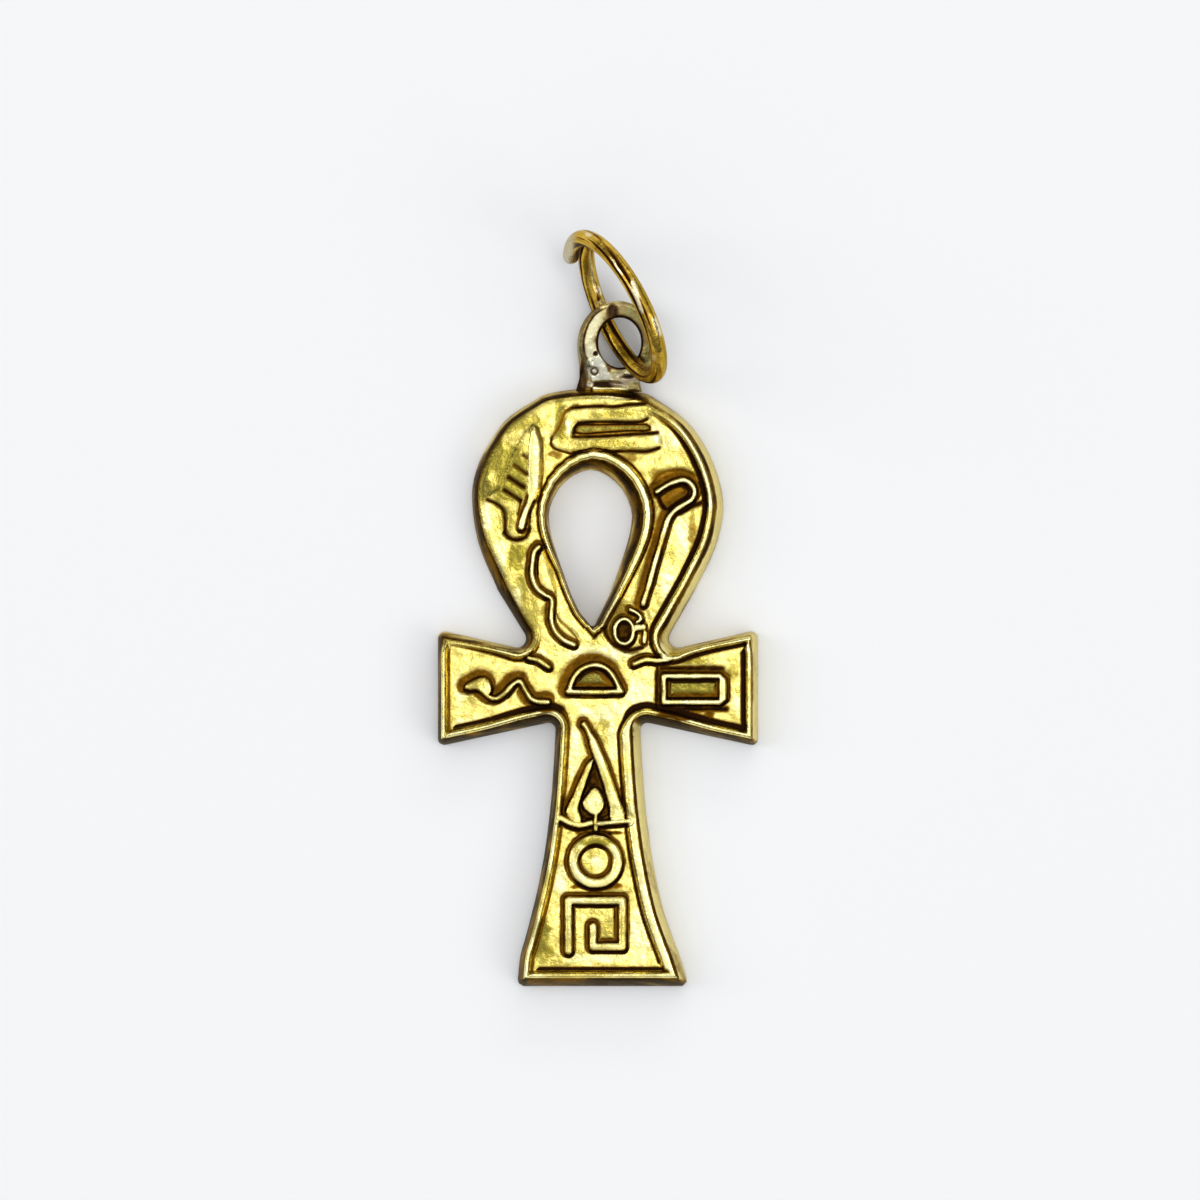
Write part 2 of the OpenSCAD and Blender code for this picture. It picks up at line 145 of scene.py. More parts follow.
def nearest(points, path, closed=False):
    """Distance from each point to the path, up to REACH, and the nearest point on it."""
    best = np.full(len(points), REACH**2)
    foot = np.array(points)
    starts = path if closed else path[:-1]
    runs = (np.roll(path, -1, axis=0) if closed else path[1:]) - starts
    group = 12
    for k in range(0, len(starts), group):
        a, ab = starts[k:k + group], runs[k:k + group]
        lo = np.minimum(a, a + ab).min(0) - REACH
        hi = np.maximum(a, a + ab).max(0) + REACH
        near = np.nonzero(((points > lo) & (points < hi)).all(1))[0]
        if not len(near):
            continue
        from_a = points[near][:, None] - a
        t = np.clip((from_a * ab).sum(2) / np.maximum((ab * ab).sum(1), 1e-12), 0, 1)
        off = from_a - t[..., None] * ab
        d = (off * off).sum(2)
        pick = d.argmin(1)
        row = np.arange(len(near))
        closer = d[row, pick] < best[near]
        chosen, row, pick = near[closer], row[closer], pick[closer]
        best[chosen] = d[row, pick]
        foot[chosen] = points[chosen] - off[row, pick]
    return np.sqrt(best), foot


def inside(points, loop):
    """True where a point lies in the closed loop."""
    result = np.zeros(len(points), bool)
    x, y = points.T
    for (ax, ay), (bx, by) in zip(loop, np.roll(loop, -1, axis=0)):
        if ay == by:
            continue
        result ^= ((ay > y) != (by > y)) & (x < (bx - ax) * (y - ay) / (by - ay) + ax)
    return result


def noise(points, size, seed):
    """Smooth random values from -1 to 1 that change over about size millimetres."""
    rng = np.random.default_rng(seed)
    table = rng.uniform(-1, 1, (NOISE_CELLS, NOISE_CELLS))
    q = points / size + 1000
    i = np.floor(q).astype(int)
    f = q - i
    f = f * f * (3 - 2 * f)
    (x0, y0), (x1, y1) = (i % NOISE_CELLS).T, ((i + 1) % NOISE_CELLS).T
    fx, fy = f.T
    low = table[x0, y0] * (1 - fx) + table[x1, y0] * fx
    high = table[x0, y1] * (1 - fx) + table[x1, y1] * fx
    return low * (1 - fy) + high * fy


# Outline of the solids

def cad_loops(node, z):
    """Closed loops of the node's edges that lie at height z, longest first, in millimetres."""
    mesh = node.data
    co = np.array([v.co for v in mesh.vertices]) / MM
    key = [tuple(c) for c in co.round(4)]
    links = {}
    for face in mesh.polygons:
        at = [key[v] for v in face.vertices]
        if all(abs(c[2] - z) < 1e-3 for c in at):
            continue
        for a, b in zip(at, at[1:] + at[:1]):
            if abs(a[2] - z) < 1e-3 and abs(b[2] - z) < 1e-3 and a != b:
                links.setdefault(a, set()).add(b)
                links.setdefault(b, set()).add(a)
    loops = []
    while links:
        start = next(iter(sorted(links)))
        loop = [start]
        while True:
            here = loop[-1]
            after = [c for c in sorted(links.get(here, ())) if len(loop) < 2 or c != loop[-2]]
            after = [c for c in after if c not in loop[1:]]
            if not after or after[0] == start:
                break
            loop.append(after[0])
        for c in loop:
            links.pop(c, None)
        loops.append(np.array(loop)[:, :2])
    loops.sort(key=lambda p: -np.linalg.norm(p - np.roll(p, 1, axis=0), axis=1).sum())
    return loops


ankh_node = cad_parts["ankh"]
outer = spline(cad_loops(ankh_node, BACK_EDGE)[0], 0.1, closed=True)
hole = spline(cad_loops(ankh_node, 0)[1], 0.1, closed=True)


def lean(points, out):
    """How far the outer wall leans in by its top edge, where out is the wall's outward direction."""
    x, y = points.T
    loop = smooth(1.5, 3.5, y)
    arm = smooth(3.5, 6, np.abs(x)) * (1 - loop)
    low = 0.36 - 0.12 * arm - 0.10 * out[:, 1] + 0.06 * out[:, 0]
    low += (0.06 + 0.14 * (x > 0)) * np.exp(-((np.abs(x) - 3.4) / 0.8) ** 2) * (y > 0)
    bulge = 0.16 * np.exp(-((y - 5.8) / 1.6) ** 2) * np.maximum(-out[:, 0], 0)
    high = 0.38 + 0.11 * out[:, 0] - 0.08 * out[:, 1] + bulge
    return low * (1 - loop) + high * loop


def bead_distance(points, out):
    """How far the bead's crest stands from the hole at the back, where out points away from the hole."""
    full = 0.56 + 0.22 * out[:, 0] + 0.20 * np.maximum(out[:, 1], 0)
    return np.maximum(full - 0.42 * (1 - smooth(3.2, 8.2, points[:, 1])), 0.16)


def pointed(points, d, foot):
    """The distance d from the hole, changed under its tip so that lines round the hole meet in a point."""
    tip = hole[hole[:, 1].argmin()]
    best = np.full(len(points), -9.0)
    for side in (-1, 1):
        flank = hole[(hole[:, 0] - tip[0]) * side > 0]
        far = flank[np.abs(flank[:, 1] - tip[1] - 0.9).argmin()]
        along = (far - tip) / np.linalg.norm(far - tip)
        best = np.maximum(best, (points - tip) @ (np.array((along[1], -along[0])) * side))
    near = np.linalg.norm(foot - tip, axis=1) < 0.16
    return np.where(near & (d > 0), best, d)


def edges(points):
    """For each point: its depth inside the top edges of the outer wall and of the hole's wall, the way out of
    the outer wall, and the bead's distance from the hole."""
    d, foot = nearest(points, outer, closed=True)
    sign = np.where(inside(points, outer), 1, -1)
    out = (foot - points) * (sign / np.maximum(d, 1e-6))[:, None]
    dh, foot_h = nearest(points, hole, closed=True)
    sign_h = np.where(inside(points, hole), -1, 1)
    out_h = (points - foot_h) * (sign_h / np.maximum(dh, 1e-6))[:, None]
    bead = bead_distance(points, out_h)
    dh = pointed(points, dh * sign_h, foot_h)
    return d * sign - lean(points, out), dh - WALL_SHARE * bead, out, bead


# Raised strokes. Rows: points, half of the flat top's width and width of the shade beside it in pixels, rise
# in millimetres, and whether the stroke is curved and closed
STROKES_PX = [
    # Feather: the lower end of its spine
    ([(533, 494), (529, 504), (525, 514), (521.5, 527)], 2.2, 1.0, 0.30, True, False),
    # Flame
    ([(539, 547), (535, 551), (532.8, 563), (532.5, 576), (537, 588), (545, 595), (551, 598), (552.5, 603),
      (551.8, 612), (552, 623), (556, 632), (564, 640), (574, 644.5)], 1.1, 3.0, 0.32, True, False),
    # Crook
    ([(657, 492), (666, 486), (675, 482), (684, 480.5), (691, 484.5), (694.5, 492), (692, 499), (684, 504.5),
      (675.5, 510), (669, 517), (664.5, 530), (660, 546), (654, 566), (648, 588), (643, 604)],
     1.4, 6.0, 0.33, True, False),
    # Vessel: rim of its mouth and hook
    (oval(624, 631.3, 9.4, 12.4, 20), 0.9, 1.2, 0.33, True, True),
    ([(630, 609.5), (637, 613), (641, 618.5), (637, 622)], 0.9, 1.2, 0.30, True, False),
    ([(635, 628), (643, 627)], 2.2, 0.8, 0.28, False, False),
    ([(645, 632), (644, 642)], 1.2, 0.8, 0.29, False, False),
    # Loaf
    ([(569.5, 690.5), (571.5, 683), (575.5, 675), (582.5, 668.5), (594, 665), (605, 667.5), (613, 675.5),
      (620.5, 690.5)],
     1.2, 8.5, 0.34, True, False),
    ([(568, 691.3), (595, 692), (621, 691.3)], 1.4, 5.0, 0.34, False, False),
    # Serpent
    ([(479, 687.5), (484, 692), (490, 697), (496, 698.3), (504, 693.5), (510, 687.5), (516, 682),
      (520.5, 681.5),
      (525, 689), (531, 698), (538, 701.5), (548, 702)], 1.2, 7.5, 0.33, True, False),
    # Pool
    ([(664, 676), (719, 676), (723.5, 680), (723.5, 698), (719, 702), (664, 702)],
      1.5, 5.5, 0.33, False, True),
    ([(721, 681), (721, 697)], 1.5, 1.0, 0.32, False, False),
    # Tent: head, ground line on the left and on the right, and the stem under the drop
    ([(584, 724), (587.5, 729), (591, 737)], 1.4, 4.0, 0.28, True, False),
    ([(561, 817.5), (570, 822.5), (580, 825), (591, 822.5)], 1.8, 4.5, 0.31, True, False),
    ([(599, 823), (611, 822), (628, 820.5)], 1.7, 4.5, 0.31, True, False),
    ([(595.7, 812), (595.7, 829)], 1.0, 2.0, 0.22, False, False),
    # Disc
    (oval(595.5, 861, 22, 22, 28), 3.8, 2.6, 0.33, True, True),
    # Shelter
    ([(568.5, 950), (568.5, 900), (622.5, 900), (622.5, 946), (593, 946), (593, 926)], 2.8, 3.0, 0.32, False,
     False),
    # Lines that run on from the arms' upper rims past the loop's roots
    ([(634, 664), (646, 659.5), (656, 660.5), (668, 659.5)], 1.4, 2.5, 0.34, True, False),
    ([(529, 658), (539, 660.5), (549, 667)], 1.2, 2.5, 0.26, True, False),
]

# Raised flats inside a closed line. Rows: points, rise in millimetres, and width of the shade round them in
# pixels
PLATES_PX = [
    # Bracket over the hole
    ([(566, 409), (600, 407.5), (632, 406.5), (645, 405.5), (648, 412), (646, 420), (600, 421), (577, 421.5),
      (572, 436.5), (600, 437.5), (632, 435.5), (656, 434.5), (659, 441), (657, 448), (600, 451.5),
      (575, 452), (553, 446), (559, 426)], 0.10, 0),
    # Feather: spine and vane
    ([(534, 428), (537.5, 434), (540, 446), (539.5, 470), (538.5, 488), (532, 501), (528.5, 484), (529, 450),
      (531, 435)], 0.26, 0),
    ([(528, 434), (518, 448), (511, 463), (506, 476), (500, 489), (491, 498), (500, 504), (508, 513),
      (509, 534),
      (520, 535), (524, 515), (529, 501), (529, 470)], 0.14, 0),
    # Bodies of the flame
    ([(542, 553), (538.5, 560), (538, 574), (541, 585), (548, 593), (554, 594), (550, 577), (546, 563)],
      0.16, 0),
    ([(553, 597), (557, 618), (568, 629), (578, 641), (574, 644), (564, 638), (556, 629), (553, 612)],
      0.18, 0),
    # Vessel
    ([(606, 602), (628, 603), (643, 607), (649, 628), (646, 647), (628, 648), (612, 643), (603, 630)],
      0.08, 0),
    # Serpent's head
    ([(466, 687.5), (471, 683), (485, 678.5), (491, 688), (488, 694), (479, 688.5)], 0.30, 7.0),
    # Tent: left leg, right leg and drop
    ([(592.5, 760), (589, 763), (582, 777), (574, 796), (567, 812), (571, 818), (580, 822), (577.5, 808),
      (580, 797), (586, 780)], 0.255, 4.0),
    ([(589, 732), (592, 734), (601, 752), (609, 772), (617, 796), (624, 818), (612, 820), (610.5, 808),
      (605, 787), (598, 766), (593, 752)], 0.26, 4.0),
    ([(595.2, 788), (601, 795), (603.5, 803), (600, 811), (595.5, 814), (589, 811.5), (583.5, 804),
      (588, 795)],
     0.26, 1.0),
]

# Hollows inside a closed line, their floors in painted olive shade. Rows: points, depth in millimetres,
# darkness, painted olive shade at the edge and in the middle, and width of the edge in pixels
HOLLOWS_PX = [
    # Recess of the bracket
    ([(577, 425), (646, 424.5), (650, 430), (632, 431), (600, 433), (576, 433)], 0.06, 0.06, 0.9, 0.68, 2.5),
    # Under the crook's head
    ([(658, 494), (667, 489), (677, 485), (686, 487), (689, 493), (684, 499), (674, 505), (666, 510)],
     0.08, 0.45, 1.0, 0.9, 6.0),
    # Mouth of the vessel
    (oval(624, 631.3, 6.6, 9.6, 16), 0.22, 0.80, 1.0, 1.0, 3.0),
    # Inside of the loaf
    ([(574, 688), (576, 680), (582, 673), (593, 669.5), (603, 671.5), (610, 678), (615, 688)],
     0.05, 0.05, 1.0, 0.78, 4.5),
    # Bed of the pool
    ([(667.5, 678.5), (719.5, 678.5), (719.5, 698.5), (667.5, 698.5)], 0.10, 0.05, 1.0, 0.66, 4.5),
    # Inside of the tent
    ([(594, 760), (600, 772), (607, 796), (610, 808), (606, 816), (582, 817), (578.5, 808), (582, 794),
      (588, 775)], 0.05, 0.76, 1.0, 1.0, 2.5),
]

# Grooves, dark with stain and painted shade. Rows: points, half width in pixels, depth in millimetres and
# darkness
GROOVES_PX = [
    # Barbs and lower outline of the feather
    ([(523, 455), (528.5, 459)], 1.3, 0.08, 0.8), ([(514, 465), (527, 474.5)], 1.4, 0.10, 0.9),
    ([(508.5, 477.5), (524, 487.5)], 1.9, 0.13, 0.97), ([(504, 490), (521, 501)], 1.7, 0.12, 0.97),
    ([(521, 501), (518.5, 514)], 1.5, 0.08, 0.8),
    ([(487, 500), (496, 504), (503, 510), (505, 518), (505, 533)], 1.5, 0.10, 0.95),
    ([(505, 533), (509, 538), (517, 540), (526, 537), (529, 529)], 1.9, 0.12, 0.97),
    ([(529, 529), (530, 512)], 1.4, 0.08, 0.8), ([(543, 438), (543.5, 470), (541, 497)], 0.9, 0.04, 0.55),
    # Bracket: its upper, left and lower outline and the edges of its recess
    ([(572, 408), (600, 406.3), (613, 407), (631, 404.5), (645, 403.5)], 1.8, 0.09, 0.98),
    ([(577, 406.5), (566, 411), (560, 426), (552, 437)], 2.3, 0.06, 0.62),
    ([(552, 437), (551, 445), (556, 449.5), (574, 455)], 1.4, 0.06, 0.9),
    ([(574, 453), (600, 452.5), (631, 451.5), (646, 452), (659, 448.5)], 1.8, 0.09, 0.98),
    ([(574, 434), (578.5, 424), (640, 422.7), (647, 419.5)], 1.8, 0.08, 0.99),
    ([(573, 437), (600, 436.5), (632, 434.5), (657, 433)], 2.0, 0.06, 0.95),
    # Flame: left of its leaf and right of its tail
    ([(539, 553), (537, 562), (537.5, 574)], 1.3, 0.08, 0.9),
    ([(556, 592), (558, 617), (569, 628), (580, 642)], 0.9, 0.05, 0.6),
    # Under the vessel, with painted shadow
    ([(603, 626), (606, 635), (616, 646), (630, 650.5), (643, 647)], 2.3, 0.12, 0.97),
    # Over the crook's head, and under its back, both with painted shade
    ([(653, 486), (657, 477), (668, 471.5), (684, 471.5), (697, 477)], 3.2, 0.05, 0.6),
    ([(680, 513), (690, 507), (701, 503)], 3.0, 0.08, 0.95),
    # Step beside the pool, and the bands over and under it, with painted shade
    ([(657.3, 665), (657.3, 710)], 1.3, 0.08, 0.85), ([(661, 668.5), (722, 669)], 3.0, 0.06, 0.85),
    ([(661, 709), (726, 709)], 3.2, 0.06, 0.93),
    # Dark line inside the rim on the right of the stem
    ([(632, 722), (637, 756), (642, 798), (650, 852)], 0.8, 0.04, 0.8),
]

# Olive and brown clouds of painted dim reflection and shade on the open field. Rows: centre, half width, half
# height, olive share, stain and shade share
CLOUDS_PX = [
    (492, 452, 15, 32, 1.3, 0.12), (484, 478, 8, 28, 1.7, 0.10), (517, 424, 24, 12, 0.9, 0.0),
    (512, 474, 22, 42, 1.1, 0.10), (516, 556, 11, 17, 1.1, 0.05), (524, 584, 10, 20, 0.9, 0.0),
    (532, 610, 9, 22, 0.8, 0.10), (506, 520, 10, 18, 0.8, 0.0), (622, 611, 17, 8, 1.6, 0.25),
    (609, 624, 6, 15, 1.6, 0.25), (561, 425, 5, 16, 1.0, 0.2),
    (546, 612, 6, 14, 0.7, 0.3), (532, 634, 9, 16, 0.8, 0.15), (672, 474, 22, 7, 1.0, 0.40),
    (690, 455, 8, 22, 0.6, 0.0), (692, 530, 5, 28, 0.7, 0.35), (655, 540, 6, 34, 0.8, 0.30),
    (640, 575, 6, 26, 0.7, 0.1), (613, 612, 12, 13, 1.0, 0.15), (636, 655, 8, 6, 0.9, 0.3),
    (684, 714, 26, 6, 1.0, 0.68), (690, 661, 26, 5, 1.0, 0.2), (731, 672, 7, 9, 0.9, 0.1),
    (545, 707, 18, 6, 0.8, 0.7),
    (480, 655, 30, 5, 0.6, 0.0), (570, 960, 14, 7, 0.8, 0.0), (541, 938, 11, 26, 1.4, 0.15),
    (600, 832, 26, 3, 0.5, 0.8), (590, 455, 24, 3, 0.6, 0.1), (556, 455, 10, 4, 0.7, 0.4),
    (628, 458, 14, 5, 0.8, 0.35), (600, 886, 24, 4, 0.5, 0.7), (603, 930, 14, 20, 0.8, 0.1),
    (560, 408, 6, 16, 0.9, 0.1), (590, 396, 30, 5, 0.5, 0.0), (592, 856, 7, 6, 0.7, 0.0),
    (460, 700, 10, 16, 0.4, 0.0), (600, 415, 30, 4, 0.5, 0.0), (600, 445, 34, 4, 0.5, 0.0),
]
# Painted highlights. Rows: centre, half width, half height, share
PAINTED_HIGHLIGHTS_PX = [
    (487, 520, 5, 18, 0.9), (657, 434, 6, 10, 0.9), (568, 428, 4, 10, 0.8), (615, 396, 24, 4, 0.7),
    (600, 652, 36, 8, 0.6), (496, 724, 46, 6, 0.7), (640, 694, 14, 18, 0.6), (736, 704, 5, 10, 0.5),
    (574, 752, 7, 26, 0.5), (613, 740, 6, 22, 0.6), (642, 930, 12, 28, 0.6), (560, 880, 8, 14, 0.6),
    (604, 712, 26, 8, 0.6), (675, 440, 14, 10, 0.5), (682, 540, 7, 26, 0.6), (668, 590, 7, 20, 0.6),
    (500, 560, 6, 22, 0.6), (516, 600, 6, 18, 0.5), (553, 628, 3, 10, 0.4), (540, 655, 8, 5, 0.7),
    (648, 640, 4, 10, 0.7), (648, 500, 5, 14, 0.4), (460, 690, 6, 20, 0.5), (600, 958, 40, 4, 0.5),
    (597, 863, 7, 7, 0.9),
]
# Painted dim reflections on signs and rims, where the painted highlight is taken off. Rows: centre, half
# width, half height, olive share
DIM_TOPS_PX = [
    (597, 841, 20, 5, 1.0), (577, 852, 4, 8, 0.7), (600, 900.5, 22, 3.2, 0.5), (568.5, 930, 3.4, 22, 0.7),
    (622.5, 925, 3.4, 18, 0.7), (604, 946, 10, 3, 0.5), (612, 414, 26, 5, 0.9), (612, 444, 28, 6, 0.9),
    (562, 434, 5, 14, 0.7), (643, 560, 3, 26, 0.3), (553, 606, 3, 10, 0.7), (664, 692, 2, 8, 0.4),
    (721, 690, 3, 8, 0.4), (586, 775, 4, 16, 0.5), (606, 775, 5, 18, 0.45), (500, 692, 9, 7, 0.8),
    (522, 690, 6, 9, 0.8), (476, 683, 10, 5, 0.8), (541, 704, 10, 4, 0.6), (537, 566, 3, 14, 0.5),
    (588, 867, 10, 6, 0.8), (680, 670, 22, 3, 0.5), (559, 760, 4, 14, 0.7), (556, 805, 4, 8, 0.6),
    (547, 880, 4, 14, 0.7), (536, 930, 4, 14, 0.6), (560, 975, 16, 4, 0.6), (628, 977, 12, 4, 0.5),
    (650, 850, 4, 12, 0.5), (440, 660, 4, 14, 0.5), (478, 738, 16, 4, 0.6), (742, 720, 4, 12, 0.5),
    (700, 655, 18, 3, 0.6),
]
# Slope from a raised top down to the field, and the dip beside it
BORDER_SLOPE = 2.8 * PX
BORDER_DIP = 0.07
# Dip of the groove beside the rim and the bead
GROOVE_DIP = 0.05
# Darkness of the painted soft shade round a raised form, of the black line by it, and what its dark side adds
SHADE_STAIN = 0.66
LINE_STAIN_AND_SHADE = 0.64
LINE_SHADE_MORE = 0.33


def raised(d, way, trough, line_darkness_noise):
    """For distances d outside a raised top, towards way: the share of its rise, its cover, and the darkness
    and the dip of the tarnish and painted shade beside it, which is trough pixels wide."""
    right, up = way.T
    cover = 1 - smooth(0, 0.45 * BORDER_SLOPE, d)
    if not trough:
        share = 1 - smooth(-0.5 * BORDER_SLOPE, 1.6 * BORDER_SLOPE, d)
        return share, cover, 0 * d, 0 * d
    share = 1 - smooth(0, BORDER_SLOPE, d)
    # a black line of tarnish and painted shade close to the form, widest under it, and darkest under it and
    # on its right
    core = (0.3 + 1.6 * np.maximum(-up, 0)) * PX
    black = 1 - smooth(core, core + 2.1 * PX, d - 0.7 * BORDER_SLOPE)
    dark_side = smooth(0.0, 0.8, 0.4 * right - up)
    black = black * np.clip(LINE_STAIN_AND_SHADE + LINE_SHADE_MORE * dark_side + line_darkness_noise, 0, 1)
    black = black * min(1, trough / 1.2)
    # a softer painted brown shade further out, wider above the form and on its left
    spread = np.maximum(1 + 0.45 * up - 0.45 * right, 0.4)
    far = np.clip((d - BORDER_SLOPE) / (trough * PX * spread), 0, 1)
    shade = SHADE_STAIN * (1 - smooth(0.35, 1, far))
    dip = BORDER_DIP * smooth(0, BORDER_SLOPE, d) * (1 - smooth(0.3, 1, far))
    return share, cover, np.maximum(black, shade) * (d > 0), dip


# Where the rim is worn away: middle of the loop's round part, and the start and extent of the worn stretch in
# degrees of the turn about it
LOOP_MID_Y = 8.6
WORN_FROM = 42
WORN_OVER = 199
RIM_WIDTH = 0.20
BEAD_RISE = 0.34


def outer_rim(points, edge, way):
    """The rim at depth edge inside the outline: rise, fall of its worn part, stain and painted shade, and
    dip.
    """
    x, y = points.T
    left = smooth(0.3, 0.9, -way[:, 0])
    right = smooth(0.3, 0.9, way[:, 0])
    under = smooth(0.3, 0.9, -way[:, 1])
    over = smooth(0.2, 0.6, way[:, 1])
    turn = (np.degrees(np.arctan2(y - LOOP_MID_Y, x)) - WORN_FROM) % 360
    worn = smooth(0, 33, turn) * (1 - smooth(WORN_OVER, WORN_OVER + 7, turn)) * smooth(1.7, 2.5, y)
    stem = smooth(-1.4, -2.4, y) * (np.abs(x) < 5.5)
    width = RIM_WIDTH + right * (0.06 + 0.26 * stem)
    crown = 1 - 0.30 * np.clip((edge - width * 0.55) / (width * 0.7), -1, 1) ** 2
    rise = RIM_RISE * crown * (1 - smooth(width, width + 0.15, edge)) * (1 - worn)
    # a dark groove along the inner side, wider under the arms' roots and on the right arm, darkened by stain
    # and painted shade, less on the left
    at = width + 0.19 + 0.05 * under
    root = smooth(6.5, 3, np.abs(x)) * smooth(-4, -3, y)
    arm = smooth(3.5, 5.0, x)
    half = 0.02 + (0.03 + 0.06 * root) * under + 0.02 * right * (1 - stem) + 0.045 * arm
    groove = (1 - smooth(half, half + 0.09, np.abs(edge - at))) * (1 - worn)
    stain = groove * (0.95 - 0.30 * left)
    # a dark line along the brink where the rim is worn, and painted shade along the brink on the right
    line = 0.02 + 0.03 * over * (1 - right) + 0.09 * right * stem
    brink = 1 - smooth(line, line + 0.08, edge)
    stain = np.maximum(stain, brink * np.maximum(0.85 * worn, 0.72 * right))
    fall = 0.12 * worn * (1 - smooth(0.0, 0.4, edge)) ** 2
    return rise, fall, stain, GROOVE_DIP * groove


def rims(points, edge, hole_edge, way, bead_far):
    """The rim round the outline and the bead round the hole: rise, stain and painted shade, the dip beside
    them, and painted highlight.
    """
    rise, fall, stain, dip = outer_rim(points, edge, way)
    at = (1 - WALL_SHARE) * bead_far
    half = 0.08 + 0.20 * bead_far
    from_crest = np.abs(hole_edge - at) / half
    bead = 1 - smooth(0.40, 1.15, from_crest)
    rise = np.maximum(rise, BEAD_RISE * bead)
    # painted shade darkens the bead's side towards the hole, and a dark line runs along its other side
    inner = (hole_edge < at) * smooth(0.7, 1.0, from_crest)
    line = 1 - smooth(0.02, 0.09, np.abs(hole_edge - at - half - 0.06))
    stain = np.maximum(stain, np.maximum(0.92 * line, 0.75 * inner))
    # painted highlight on the crests of the rim and the bead
    pale = np.maximum(smooth(0.6, 0.95, rise / RIM_RISE), 0.9 * smooth(0.7, 1.0, bead))
    return rise - fall, stain, np.maximum(dip, GROOVE_DIP * line), pale


def cut_hollows(face):
    """Sinks the hollows, each with a dark line of stain and painted shade along its border, and a floor in
    painted olive shade that is lighter in the middle.
    """
    for shape, deep, dark, green, light, side_px in HOLLOWS_PX:
        side = side_px * PX
        loop = spline(mm(shape), 0.2, closed=True)
        d, _ = nearest(face.points, loop, closed=True)
        d = d * np.where(inside(face.points, loop), 1, -1)
        w = smooth(-side / 2, side / 2, d)
        border = np.exp(-((d - side * 0.1) / (side * 0.6)) ** 2)
        middle = smooth(0.4 * side, 1.7 * side, d)
        face.rise = face.rise * (1 - w) - deep * w
        face.stain = np.maximum(face.stain * (1 - w) + dark * w, border * 0.95)
        face.olive = face.olive * (1 - w) + (green + (light - green) * middle) * w
        face.floors = np.maximum(face.floors, w)


def raised_shapes():
    """All strokes and flats: line, whether it is closed and filled, half width, width of the shade, rise."""
    shapes = []
    for points, half, trough, height, curved, closed in STROKES_PX:
        line = spline(mm(points), 0.15, closed) if curved else mm(points)
        shapes.append((line, closed, False, half, trough, height))
    for points, height, trough in PLATES_PX:
        shapes.append((spline(mm(points), 0.25, closed=True), True, True, 0, trough, height))
    return shapes


# A form that rises over this covers the tarnish and painted shade, and gets a painted highlight
HIGH = 0.2
# Half width in pixels of the widest strokes that get a painted highlight all over
NARROW_PX = 2.2


def raise_signs(face):
    """Raises the signs, with the dark lines and the shade beside them, tarnish and painted shade, and the dip
    there.
    """
    line_darkness_noise = 0.24 * noise(face.points, 0.5, SEED + 18)
    shades = np.zeros(len(face.points))
    for line, closed, filled, half, trough, height in raised_shapes():
        d, foot = nearest(face.points, line, closed)
        out = (face.points - foot) / np.maximum(d, 1e-6)[:, None]
        if filled:
            d = d * np.where(inside(face.points, line), -1, 1)
        d = d + face.wobble - half * PX
        share, cover, shade, dip = raised(d, out, trough, line_darkness_noise)
        crown = height * (1 - 0.08 * smooth(-0.2, 0, d))
        face.rise = face.rise + share * np.maximum(crown - face.rise, 0)
        if height > HIGH:
            face.cover = np.maximum(face.cover, cover)
            # a painted highlight on the tops of high, narrow forms, coming and going
            shine = smooth(HIGH, HIGH + 0.1, height) * min(1, NARROW_PX / max(half, 1))
            face.pale = np.maximum(face.pale, cover * shine * face.polish)
        shades = np.maximum(shades, shade)
        face.dip = np.maximum(face.dip, dip)
    face.stain = np.maximum(face.stain, shades * (1 - face.ridge)) * (1 - face.cover)
    face.olive = face.olive * (1 - face.cover)
    face.rise = face.rise - face.dip * (1 - face.cover)


def cut_grooves(face):
    """Cuts the grooves, dark with stain and painted shade, except through signs and rims."""
    bare = (1 - face.cover) * (1 - face.ridge)
    for path, half, deep, dark in GROOVES_PX:
        d, _ = nearest(face.points, spline(mm(path), 0.3))
        w = np.exp(-((d + 0.5 * face.wobble) / (half * PX)) ** 2) * bare
        face.rise = face.rise - deep * w
        face.stain = np.maximum(face.stain, dark * w)


def patch(points, oval, ragged):
    """1 in the middle of an oval and 0 outside it, with a ragged border."""
    cx, cy, rx, ry = oval
    across, along = ((points - mm((cx, cy))) / (rx * PX, ry * PX)).T
    return 1 - smooth(0.5, 1.3, np.hypot(across, along) + ragged)


def colour_patches(face):
    """Adds the clouds of painted dim reflection and shade on the field, the painted highlights, and the
    places on signs and rims painted dim.
    """
    ragged = 0.32 * noise(face.points, 0.7, SEED + 9) + 0.26 * noise(face.points, 0.25, SEED + 10)
    bare = 1 - face.cover
    for *oval, share, dirt_and_shade in CLOUDS_PX:
        w = patch(face.points, oval, ragged) * bare
        face.olive = np.maximum(face.olive, 0.5 * share * w)
        face.stain = np.maximum(face.stain, dirt_and_shade * w)
    for *oval, share in PAINTED_HIGHLIGHTS_PX:
        face.pale = np.maximum(face.pale, share * patch(face.points, oval, -0.8 * ragged))
    face.pale = face.pale * (1 - face.floors * bare)
    for *oval, share in DIM_TOPS_PX:
        w = share * patch(face.points, oval, 0.8 * ragged)
        face.pale = face.pale * (1 - w)
        face.olive = np.maximum(face.olive, 0.5 * w)


# The face never rises over this, and its brinks are rounded over this width and by this much
TOP_Z = 1.995
BRINK_WIDTH = 0.10
BRINK_FALL = 0.09


